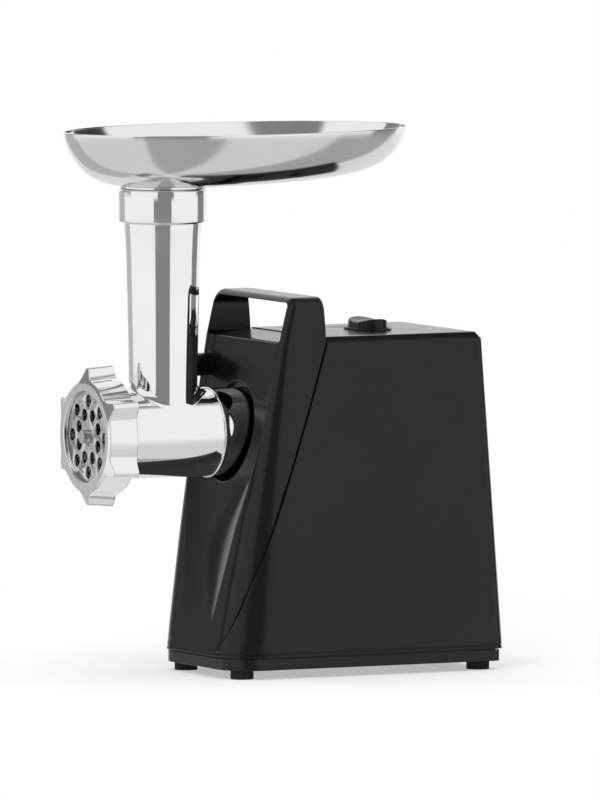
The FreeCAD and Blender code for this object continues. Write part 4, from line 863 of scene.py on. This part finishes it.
def recess(z):
    share = (z - PANEL_FADE_Z) / (LEDGE_Z - PANEL_FADE_Z)
    return PANEL_RECESS * min(max(share, 0.0), 1.0) ** PANEL_RECESS_POWER


def cove(z):
    """How far the crease opens into a wide soft cove: 1 half way down, 0 at the cove's ends."""
    foot, middle, top = COVE_Z
    if z > middle:
        return smooth_step((top - z) / (top - middle))
    return smooth_step((z - foot) / (middle - foot))


def hollow(inside, width):
    return 1.0 - (1.0 - min(inside / width, 1.0)) ** 2


def panel_depth(z, inside):
    """How far the panel lies behind the strip's surface, at a distance inside the crease."""
    share = cove(z)
    width = between(CREASE_WIDTH, COVE_WIDTH, share)
    extra = COVE_EXTRA * share
    rise = extra * smooth_step(inside / width - 1.0)
    return (recess(z) + extra) * hollow(inside, width) - rise


def far_panel_depth(z, inside):
    """The same on the side away from the camera, where the crease runs out into the panel."""
    share = smooth_step((FAR_CREASE_Z[1] - z) / (FAR_CREASE_Z[1] - FAR_CREASE_Z[0]))
    width = between(CREASE_WIDTH, FAR_CREASE_WIDTH, share)
    return recess(z) * hollow(inside, width)


def strip_lengths(outline):
    """Arc lengths of the side strip's edges at one height, at the seam and at the crease."""
    share = smooth_step((outline.z - SEAM_FOOT_Z) / SEAM_NARROW)
    end = outline.at_seam() - between(SEAM_FOOT_GAP, SEAM_GAP, share)
    return end, min(outline.at_x(crease_x(outline.z)), end - STRIP_LEAST)


def strip_spots(outline):
    """The side strip at one height, from the seam to the crease, as Outline.point gives it."""
    return [outline.point(u) for u in spread(*strip_lengths(outline), STRIP_COLUMNS)]


def panel_row(z):
    """Points of the panel from crease to crease, set back between them."""
    outline = Outline(z)
    _, crease = strip_lengths(outline)
    near, far = [], []
    for i in range(PANEL_COLUMNS + 1):
        u = crease * (1.0 - i / PANEL_COLUMNS)
        x, y, _, _ = outline.point(u)
        near.append((x, y + panel_depth(z, crease - u) - COVER_PROUD, z))
        far.append((-x, y + far_panel_depth(z, crease - u) - COVER_PROUD, z))
    return near + far[-2::-1]


def seam_tongue():
    """A lip behind each seam, which closes the gap between the cover and the housing."""
    layers = ([], [])
    for z in COVER_HEIGHTS:
        if z <= SEAM_FOOT_Z:
            continue
        outline = Outline(z)
        end, _ = strip_lengths(outline)
        spots = [outline.point(end + TONGUE_REACH * (i / TONGUE_SPLIT - 1))
                 for i in range(TONGUE_COLUMNS + 1)]
        for layer, depth in zip(layers, TONGUE_DEPTH):
            layer.append([(x + nx * depth, y + ny * depth, z) for x, y, nx, ny in spots])
    points, faces = shell_of(*layers)
    count = len(points)
    points += [(-x, y, z) for x, y, z in points]
    faces += [tuple(count + i for i in reversed(face)) for face in faces]
    add_piece("seam_tongue", (points, faces), "housing", "black_plastic")


def cover_panel():
    """The recessed front panel, which turns back at its top into the ledge under the handle."""
    outer = [panel_row(z) for z in COVER_HEIGHTS if z < LEDGE_Z - LEDGE_CLEAR]
    inner = [[(x, y + SKIN, z) for x, y, z in row] for row in outer]
    top = panel_row(LEDGE_Z - LEDGE_ROUND)
    ledge_end = seam_y(LEDGE_Z) - SEAM_GAP

    def ledge_row(start, k, z):
        return [(x, y + start + (ledge_end - y - start) * k / ROUND_STEPS, z) for x, y, _ in top]

    for a in quarter(ROUND_STEPS):
        z = LEDGE_Z - LEDGE_ROUND + LEDGE_ROUND * sin(a)
        outer.append([(x, y + LEDGE_ROUND * (1 - cos(a)), z) for x, y, _ in top])
        inner.append(ledge_row(SKIN, 0, LEDGE_Z - SKIN))
    for k in range(1, ROUND_STEPS + 1):
        outer.append(ledge_row(LEDGE_ROUND, k, LEDGE_Z + LEDGE_RISE * k / ROUND_STEPS))
        inner.append(ledge_row(SKIN, k, LEDGE_Z - SKIN))
    obj = add_piece("cover_panel", shell_of(outer, inner), "housing", "black_plastic",
                    ["front_cover"])
    cut_rod(obj, WELL_R + WELL_EDGE, (0.0, None, AXIS_Z), COVER_CUT_Y, ROUND_SIDES)
    cut_rod(obj, LOCK_HOLE_R, (LOCK_X, None, LOCK_Z), COVER_CUT_Y)
    bake(obj)


def socket_well():
    """The rounded edge and inside wall of the round well that the head plugs into."""
    section = [(WELL_R + WELL_EDGE * (1 - sin(a)), WELL_EDGE * (1 - cos(a)), True)
               for a in quarter(ROUND_STEPS)]
    section += [(WELL_R, WELL_REAR_Y, False), (WELL_R + WELL_WALL, WELL_REAR_Y, False),
                (WELL_R + WELL_WALL, SKIN, True), (WELL_R + WELL_EDGE, SKIN, True)]
    rows = []
    for radius, y, on_panel in section:
        row = []
        for x, up in circle(radius):
            z = AXIS_Z + up
            row.append((x, front_y(z) + recess(z) + y if on_panel else y, z))
        rows.append(row)
    add_piece("socket_well", hoop(rows), "housing", "black_plastic", ["front_cover"])


def lock_coil():
    """The lock button's spring, a coil of wire over the length of the CAD spring."""
    first, last = low("lock_spring"), high("lock_spring")
    centre_x, centre_z = (first[0] + last[0]) / 2, (first[2] + last[2]) / 2
    reach = (last[0] - first[0]) / 2 - COIL_WIRE
    length = last[1] - first[1]
    count = COIL_TURNS * COIL_STEPS
    rings = []
    for i in range(count + 1):
        turn = 2 * pi * i / COIL_STEPS
        y = first[1] + COIL_WIRE + (length - 2 * COIL_WIRE) * i / count
        rings.append([(centre_x + (reach + out) * cos(turn), y + up,
                       centre_z + (reach + out) * sin(turn))
                      for out, up in circle(COIL_WIRE, COIL_SIDES)])
    obj = add_piece("spring_coil", prism(rings), "housing", "steel", ["lock_spring"], COIL_SHARP)
    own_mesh(obj)


def strap_station(s):
    """Outer point, inward direction and thickness on half of the handle, s from ledge to middle."""
    leg = HANDLE_TOP - HANDLE_CORNER - LEDGE_Z
    bend = HANDLE_CORNER * pi / 2
    half = half_x(LEDGE_Z)
    run = half - HANDLE_CORNER
    at = s * (leg + bend + run)
    if at <= leg:
        return (half, LEDGE_Z + at), (-1.0, 0.0), HANDLE_LEG
    if at <= leg + bend:
        a = (at - leg) / HANDLE_CORNER
        thick = between(HANDLE_LEG, HANDLE_BAR, sin(a)) + HANDLE_BEND * sin(2 * a)
        return ((run + HANDLE_CORNER * cos(a),
                 HANDLE_TOP - HANDLE_CORNER + HANDLE_CORNER * sin(a)),
                (-cos(a), -sin(a)), thick)
    return (run - (at - leg - bend), HANDLE_TOP), (0.0, -1.0), HANDLE_BAR


def handle_edges(z):
    """Front and rear of the handle strap at one height."""
    share = (z - LEDGE_Z) / (HANDLE_TOP - LEDGE_Z)
    front, rear = front_y(LEDGE_Z), seam_y(LEDGE_Z) - SEAM_GAP
    return (between(front, HANDLE_FRONT_TOP_Y, share),
            between(rear, HANDLE_REAR_TOP_Y, share ** HANDLE_REAR_POWER))


def cover_frame():
    """The side strips and the handle: one band from foot to foot, over the arch."""
    outer, inner = [], []
    for z in COVER_HEIGHTS:
        spots = strip_spots(Outline(z))
        outer.append([Vector((x, y - COVER_PROUD, z)) for x, y, _, _ in spots])
        inner.append([p + Vector((nx, ny, 0.0)) * SKIN
                      for p, (_, _, nx, ny) in zip(outer[-1], spots)])
    corner = Outline(LEDGE_Z)
    base_reach = (seam_y(LEDGE_Z) - SEAM_GAP) - corner.front
    for k in range(1, HANDLE_ROWS + 1):
        (px, pz), (nx, nz), thick = strap_station(k / HANDLE_ROWS)
        front, rear = handle_edges(pz)
        normal = Vector((nx, 0.0, nz))
        outer.append([])
        inner.append([])
        for x, y, _, _ in strip_spots(corner):
            depth = min(corner.hx - x, thick - HANDLE_EDGE_DEPTH)
            spot = Vector((px, front + (y - corner.front) * (rear - front) / base_reach, pz))
            outer[-1].append(spot + normal * depth)
            inner[-1].append(spot + normal * max(thick, depth + HANDLE_EDGE_LEAST))
    for layer in (outer, inner):
        layer += [[Vector((-p.x, p.y, p.z)) for p in row] for row in reversed(layer[:-1])]
    obj = add_piece("cover_frame", shell_of(outer, inner), "housing", "black_plastic",
                    ["front_cover"])
    add_bevel(obj, SEAM_ROUND, SEAM_ROUND_ANGLE)


# Switch
def oval_ring(half, grow, z):
    """Points of an oval, made larger all round, with straight sides along X and round ends."""
    straight, radius = half[0] - half[1], half[1] + grow
    bend = pi * radius
    ring = []
    for i in range(OVAL_SIDES):
        at = (4 * straight + 2 * bend) * i / OVAL_SIDES
        side = 1.0
        if at >= 2 * straight + bend:
            at -= 2 * straight + bend
            side = -1.0
        if at < 2 * straight:
            x, y = straight - at, radius
        else:
            a = (at - 2 * straight) / radius
            x, y = -straight - radius * sin(a), radius * cos(a)
        ring.append((side * x, SWITCH_Y + side * y, z))
    return ring


def switch_bezel():
    top = SHELL_TOP + BEZEL_THICK
    rings = [oval_ring(BEZEL_HALF, 0.0, SHELL_TOP)]
    for a in quarter(EDGE_STEPS):
        z = top - BEZEL_EDGE + BEZEL_EDGE * sin(a)
        rings.append(oval_ring(BEZEL_HALF, -BEZEL_EDGE * (1 - cos(a)), z))
    inside = [(BEZEL_EDGE * (1 - sin(a)), top - BEZEL_EDGE * (1 - cos(a)))
              for a in quarter(EDGE_STEPS)]
    floor = SHELL_TOP - BEZEL_DEPTH
    inside += [(0.0, floor), (BEZEL_WALL, floor), (BEZEL_WALL, SHELL_TOP)]
    rings += [oval_ring(BEZEL_OPEN, grow, z) for grow, z in inside]
    add_piece("switch_bezel_skin", hoop(rings), "housing", "switch_plastic", ["switch_bezel"])


def rocker():
    """An oval key, hollowed along its top between two raised ends."""
    def top(x):
        return between(ROCKER_MID_Z, ROCKER_END_Z, (x / ROCKER_HALF[0]) ** 2)

    rings = [oval_ring(ROCKER_HALF, 0.0, ROCKER_LOW_Z)]
    for a in quarter(ROCKER_STEPS):
        ring = oval_ring(ROCKER_HALF, -ROCKER_EDGE * (1 - cos(a)), 0.0)
        drop = ROCKER_EDGE - ROCKER_EDGE * sin(a)
        rings.append([(x, y, top(x) - drop) for x, y, _ in ring])
    rim = oval_ring(ROCKER_HALF, -ROCKER_EDGE, 0.0)
    for i in range(1, ROCKER_RINGS):
        share = 1.0 - i / ROCKER_RINGS
        rings.append([(x * share, SWITCH_Y + (y - SWITCH_Y) * share, top(x * share))
                      for x, y, _ in rim])
    points = joined(rings) + [(0.0, SWITCH_Y, top(0.0))]
    count = len(rim)
    last = (len(rings) - 1) * count
    faces = grid_faces(len(rings), count, wrap=True)
    faces.append(tuple(range(count)))
    faces += [(last + i, last + (i + 1) % count, len(points) - 1) for i in range(count)]
    add_piece("rocker_key", (points, faces), "switch", "switch_plastic", ["rocker"])


# Grinding head
def barrel():
    edge, rear_edge, blend_r = FLANGE_ROUNDS
    front = rounded_path([
        (SEAT_R, BARREL_FRONT_Y, 0), (FLANGE_R, BARREL_FRONT_Y, edge),
        (FLANGE_R, FLANGE_REAR_Y, rear_edge), (BARREL_R, FLANGE_REAR_Y, blend_r),
        (BARREL_R, BEAD_Y - BEAD_CLEAR[0], 0)])
    bead = [(BARREL_R, BEAD_Y - BEAD_HALF - BEAD_FOOT),
            (BARREL_R + BEAD_FOOT_RISE, BEAD_Y - BEAD_HALF)]
    for a in half_round():
        bead.append((between(BARREL_R, BEAD_R, sin(a)), BEAD_Y - BEAD_HALF * cos(a)))
    bead += [(BARREL_R + BEAD_FOOT_RISE, BEAD_Y + BEAD_HALF),
             (BARREL_R, BEAD_Y + BEAD_HALF + BEAD_FOOT)]
    rear = rounded_path([
        (BARREL_R, BEAD_Y + BEAD_CLEAR[1], 0), (BARREL_R, BARREL_REAR_Y, BARREL_ROUND),
        (SHAFT_HOLE_R, BARREL_REAR_Y, 0)])
    bore_end, seat = BARREL_REAR_Y - BARREL_REAR_WALL, BARREL_FRONT_Y + SEAT_DEPTH
    bore = [(SHAFT_HOLE_R, bore_end), (BARREL_BORE_R, bore_end), (BARREL_BORE_R, seat),
            (SEAT_R, seat)]
    rows = [[(x, y, AXIS_Z + up) for x, up in circle(radius)]
            for radius, y in front + bead + rear + bore]
    obj = add_piece("head_barrel", hoop(rows), "head", "polished_metal", ["grinder_head"],
                    METAL_SHARP)
    cut_rod(obj, TUBE_BORE_R, (0.0, TUBE_Y, None), (AXIS_Z, AXIS_Z + TUBE_CUT))
    bake(obj, METAL_SHARP)


def tube_radius(z):
    if z <= TUBE_MID_Z:
        share = max((z - TUBE_FOOT_Z) / (TUBE_MID_Z - TUBE_FOOT_Z), 0.0)
        return between(TUBE_FOOT_R, TUBE_MID_R, share ** TUBE_FOOT_POWER)
    share = (z - TUBE_MID_Z) / (COLLAR_BOTTOM - TUBE_MID_Z)
    return between(TUBE_MID_R, TUBE_TOP_R, share ** TUBE_TOP_POWER)


def tube_column(c, s):
    """The tube's section towards one side, from its blend into the barrel to its bore's end."""
    def at(radius, z):
        return Vector((radius * c, TUBE_Y + radius * s, z))

    reach = TUBE_FOOT_R + TUBE_FILLET
    ball = at(reach, AXIS_Z + sqrt((BARREL_R + TUBE_FILLET) ** 2 - (reach * c) ** 2))
    to_barrel = Vector((-ball.x, 0.0, AXIS_Z - ball.z)).normalized()
    to_tube = Vector((-c, -s, 0.0))
    column = [ball + to_barrel * TUBE_FILLET + to_barrel * TUBE_FOOT_SINK]
    for k in range(BLEND_STEPS + 1):
        column.append(ball + to_barrel.slerp(to_tube, k / BLEND_STEPS) * TUBE_FILLET)
    for z in spread(ball.z, COLLAR_BOTTOM - COLLAR_CLEAR, TUBE_ROWS)[1:]:
        column.append(at(tube_radius(z), z))
    floor = COLLAR_BOTTOM + COLLAR_FLOOR
    collar = rounded_path([
        (TUBE_TOP_R - COLLAR_LEAD[0], COLLAR_BOTTOM - COLLAR_LEAD[1], 0),
        (TUBE_TOP_R, COLLAR_BOTTOM, BORE_ROUND),
        (COLLAR_R, COLLAR_BOTTOM, COLLAR_ROUNDS[0]), (COLLAR_R, COLLAR_TOP, COLLAR_ROUNDS[1]),
        (COLLAR_BORE_R, COLLAR_TOP, BORE_ROUND), (COLLAR_BORE_R, floor, 0),
        (TUBE_BORE_R, floor, BORE_ROUND), (TUBE_BORE_R, TUBE_BORE_Z, 0)])
    column += [at(p.x, p.y) for p in collar[1:]]
    column.append(at(TUBE_BORE_R, AXIS_Z + sqrt(TUBE_END_R ** 2 - (TUBE_BORE_R * c) ** 2)))
    return column


def feed_tube():
    """The upright tube, blended into the barrel by the sweep of a rolling ball."""
    columns = [tube_column(c, s) for c, s in circle(1.0)]
    add_piece("feed_tube", hoop(list(zip(*columns))), "head", "polished_metal", ["grinder_head"],
              METAL_SHARP)


# Ring nut
def lobe_radius(tip, base, turn):
    """Radius of the nut's outline: a round base with narrow lobes on hollow flanks, one at 0."""
    step = pi / NUT_LOBES
    off = abs((turn + step) % (2 * step) - step)
    share = (off - NUT_TIP_HALF) / (NUT_FLANK_END - NUT_TIP_HALF)
    return between(base, tip, (1.0 - min(max(share, 0.0), 1.0)) ** NUT_FLANK_POWER)


def softened(radii):
    """A closed ring of radii, averaged over five neighbours to round its corners."""
    count = len(radii)
    for _ in range(NUT_SOFT_ROUNDS):
        radii = [sum(radii[(i + k) % count] for k in range(-2, 3)) / 5 for i in range(count)]
    return radii


def nut_section(rear_r, front_r):
    """The nut's wall, the face that leans back to the tip, the flat ring and the thread."""
    face_y = NUT_FRONT_Y + (front_r - NUT_FACE_R) * tan(NUT_FACE_TILT)
    lip_y = NUT_FRONT_Y + NUT_LIP
    return rounded_path([
        (NUT_THREAD_R, NUT_REAR_Y, 0), (rear_r, NUT_REAR_Y, NUT_REAR_EDGE),
        (front_r, face_y, NUT_EDGE), (NUT_FACE_R, NUT_FRONT_Y, NUT_FACE_ROUND),
        (NUT_OPENING_R, NUT_FRONT_Y, NUT_LIP_EDGE), (NUT_OPENING_R, lip_y, 0),
        (NUT_THREAD_R, lip_y, 0)])


def ring_nut():
    angles = turns(NUT_COLUMNS)
    front_tip = NUT_TIP_R - NUT_TAPER
    rear = softened([lobe_radius(NUT_TIP_R, NUT_BASE_R, turn) for turn in angles])
    front = softened([lobe_radius(front_tip, NUT_FRONT_BASE_R, turn) for turn in angles])
    columns = [[(-p.x * sin(turn), p.y, AXIS_Z + p.x * cos(turn))
                for p in nut_section(*radii)] for turn, *radii in zip(angles, rear, front)]
    obj = add_piece("lobed_nut", hoop(list(zip(*columns))), "nut", "polished_metal", ["ring_nut"],
                    METAL_SHARP)
    obj.modifiers.new("flat_faces", "WEIGHTED_NORMAL").keep_sharp = True


# Tray
def tray_rise(share):
    """How far along the dish's curve a reach to the rear lies: a gentle slope, then a curl."""
    return (1.0 - TRAY_SLOPE) * share ** TRAY_REAR_POWER + TRAY_SLOPE * share ** TRAY_SLOPE_POWER


def tray_reach(progress, reach, power):
    start = (TRAY_FLAT_R / reach) ** power
    return reach * (start + progress * (1.0 - start)) ** (1.0 / power)


def tray_slice(share, top):
    """One level oval of the dish's outside, round over the spout and long at the rim."""
    flat = tray_rise(TRAY_FLAT_R / TRAY_REAR_REACH)
    progress = min((tray_rise(share) - flat) / (1.0 - flat), 1.0)
    z = between(TRAY_FLOOR_Z, top, 1.0 - (1.0 - progress) ** TRAY_CURL)
    front = tray_reach(progress, TRAY_FRONT_REACH, TRAY_FRONT_POWER)
    side = tray_reach(progress, TRAY_HALF_WIDTH, TRAY_SIDE_POWER)
    rear = share * TRAY_REAR_REACH
    middle, half = TUBE_Y + (rear - front) / 2, (rear + front) / 2
    return [Vector((side * c, middle + half * s, z)) for c, s in circle(1.0, TRAY_COLUMNS)]


def tray():
    """A pressed oval dish, lowest round its hole, whose side curls up to a rounded edge."""
    half = TRAY_SHEET / 2
    start = TRAY_FLAT_R / TRAY_REAR_REACH
    outer = []
    for k in range(TRAY_ROWS + 1):
        share = 1.0 - (1.0 - start) * (1.0 - k / TRAY_ROWS) ** TRAY_CROWDING
        outer.append(tray_slice(share, TRAY_RIM_Z - half))

    def inward(j, i):
        if j == 0:
            return Vector((0.0, 0.0, 1.0))
        rise = outer[min(j + 1, TRAY_ROWS)][i] - outer[j - 1][i]
        return rise.cross(outer[j][(i + 1) % TRAY_COLUMNS] - outer[j][i - 1]).normalized()

    def row(j, depth, lift=0.0):
        return [p + inward(j, i) * depth + Vector((0.0, 0.0, lift)) for i, p in enumerate(outer[j])]

    rows = list(outer)
    for a in half_round():
        rows.append(row(TRAY_ROWS, half - half * cos(a), half * sin(a)))
    rows += [row(j, TRAY_SHEET) for j in range(TRAY_ROWS, -1, -1)]
    obj = add_piece("oval_tray", prism(rows), "hopper", "tray_steel", ["hopper_tray"])
    cut_rod(obj, TRAY_HOLE_R, (0.0, TUBE_Y, None), TRAY_CUT_Z, TRAY_HOLE_SIDES)
    bake(obj)


# Hole plate
def plate():
    shape = rod(PLATE_R, (0.0, None, AXIS_Z), PLATE_Y, ROUND_SIDES)
    obj = add_piece("drilled_plate", shape, "head", "cutting_steel", ["hole_plate"])
    holes = [(0.0, 0.0, PLATE_PIN_HOLE_R)]
    for ring, offset in PLATE_RINGS:
        for i in range(PLATE_HOLES):
            angle = 2 * pi * (i + offset) / PLATE_HOLES
            holes.append((ring * cos(angle), ring * sin(angle), PLATE_HOLE_R))
    holes.append((0.0, -PLATE_R, PLATE_NOTCH_R))
    for x, up, radius in holes:
        cut_rod(obj, radius, (x, None, AXIS_Z + up), PLATE_CUT_Y, HOLE_SIDES)
    add_bevel(obj, PLATE_EDGE, PLATE_EDGE_ANGLE)
    bake(obj)


for build in (rear_housing, base_rim, seam_tongue, cover_panel, socket_well, lock_coil, cover_frame,
              switch_bezel, rocker, barrel, feed_tube, ring_nut, tray, plate):
    build()


# Carried-over CAD nodes take the same node materials
for node in NODES.values():
    for place, old in enumerate(node.data.materials):
        node.data.materials[place] = MATERIALS[old.name.split(".")[0]]


# Studio
def set_camera():
    right = Vector((cos(AZIMUTH), sin(AZIMUTH), 0.0))
    back = Vector((sin(AZIMUTH) * cos(ELEVATION),
                   -cos(AZIMUTH) * cos(ELEVATION), sin(ELEVATION)))
    up = back.cross(right)
    data = bpy.data.cameras.new("camera")
    data.sensor_width = SENSOR
    data.lens = SENSOR * CAMERA_DISTANCE / FRAME_HEIGHT
    camera = add_object("camera", data)
    place = right * AIM_RIGHT + up * AIM_UP + back * CAMERA_DISTANCE
    camera.matrix_world = Matrix([(*right, 0), (*up, 0), (*back, 0), (*place, 1)]).transposed()
    bpy.context.scene.camera = camera


def softbox(name, place, aim, side, power):
    data = bpy.data.lights.new(name, "AREA")
    data.shape = "RECTANGLE"
    data.size = data.size_y = side
    data.energy = power
    lamp = add_object(name, data)
    lamp.location = place
    lamp.rotation_euler = (Vector(place) - Vector(aim)).to_track_quat("Z", "Y").to_euler()
    lamp.visible_glossy = False


def studio_floor():
    """A pale round floor that keeps the object's shadow and fades to the backdrop's white."""
    mesh = bpy.data.meshes.new("studio_floor")
    mesh.from_pydata([(x, y, 0.0) for x, y in circle(FLOOR_RADIUS, FLOOR_SIDES)], [],
                     [tuple(range(FLOOR_SIDES))])
    floor = add_object("studio_floor", mesh)
    material, tree, shader = node_material("studio_floor")
    tone = ramp(tree, noise(tree, FLOOR_TONE_SCALE), *FLOOR_TONES)
    shader.inputs["Roughness"].default_value = FLOOR_ROUGHNESS
    shader.inputs["Specular IOR Level"].default_value = 0.0
    white = add_node(tree, "Emission", {"Strength": 1.0})
    place, mix, path = add_nodes(tree, "NewGeometry", "MixShader", "LightPath")
    reach = add_node(tree, "VectorMath", operation="LENGTH")
    fade = add_node(tree, "MapRange", {"From Min": FLOOR_FADE[0], "From Max": FLOOR_FADE[1],
                                       "To Min": FLOOR_VEIL}, interpolation_type="SMOOTHSTEP")
    both = add_node(tree, "Math", operation="MULTIPLY")
    wire(tree, (tone, "Color", shader, "Base Color"), (place, "Position", reach, 0),
         (reach, "Value", fade, "Value"), (fade, "Result", both, 0),
         (path, "Is Camera Ray", both, 1), (both, 0, mix, "Fac"), (shader, 0, mix, 1),
         (white, 0, mix, 2), (mix, 0, tree.nodes["Material Output"], "Surface"))
    mesh.materials.append(material)
    floor.visible_glossy = False


def band_ramp(tree, share, bands):
    """Steps of brightness round the studio."""
    node = add_node(tree, "ValToRGB")
    stops = node.color_ramp.elements
    stops[0].position, stops[0].color = 0.0, colour(bands[0][1])
    stops[1].position, stops[1].color = 1.0, colour(bands[-1][1])
    for (degrees, value), (_, last) in zip(bands[1:], bands[:-1]):
        at = (degrees + 180.0) / 360.0
        stops.new(at - BAND_BLUR).color = colour(last)
        stops.new(at + BAND_BLUR).color = colour(value)
    wire(tree, (share, "Result", node, "Fac"))
    return node


def blend(tree, split, span, first, second):
    """Passes from one colour to another between two heights."""
    share = add_node(tree, "MapRange", {"From Min": span[0], "From Max": span[1]},
                     interpolation_type="SMOOTHSTEP")
    mix = add_node(tree, "MixRGB")
    wire(tree, (split, "Z", share, "Value"), (share, "Result", mix, "Fac"),
         (first, "Color", mix, "Color1"), (second, "Color", mix, "Color2"))
    return mix


def studio_world():
    """A white surround for the camera; mirrors see white panels with grey gaps between them."""
    world = bpy.data.worlds.new("studio")
    bpy.context.scene.world = world
    world.use_nodes = True
    tree = world.node_tree
    surround = tree.nodes["Background"]
    surround.inputs["Color"].default_value = colour(1.0)
    surround.inputs["Strength"].default_value = WORLD_LIGHT
    white = add_node(tree, "Background", {"Color": colour(1.0)})
    panels, place, split, path, mirrors, seen = add_nodes(
        tree, "Background", "TexCoord", "SeparateXYZ", "LightPath", "MixShader", "MixShader")
    turn = add_node(tree, "Math", operation="ARCTAN2")
    share = add_node(tree, "MapRange", {"From Min": -pi, "From Max": pi})
    level = band_ramp(tree, share, LEVEL_BANDS)
    level = blend(tree, split, HIGH_RISE, level, band_ramp(tree, share, HIGH_BANDS))
    level = blend(tree, split, LOW_FALL, level, band_ramp(tree, share, LOW_BANDS))
    wire(tree, (place, "Generated", split, 0), (split, "Y", turn, 0), (split, "X", turn, 1),
         (turn, 0, share, "Value"), (level, "Color", panels, "Color"),
         (path, "Is Glossy Ray", mirrors, "Fac"), (surround, 0, mirrors, 1),
         (panels, 0, mirrors, 2), (path, "Is Camera Ray", seen, "Fac"), (mirrors, 0, seen, 1),
         (white, 0, seen, 2), (seen, 0, tree.nodes["World Output"], "Surface"))


studio_world()
studio_floor()
for lamp in LAMPS:
    softbox(*lamp)
set_camera()

scene = bpy.context.scene
scene.view_settings.view_transform = "Standard"
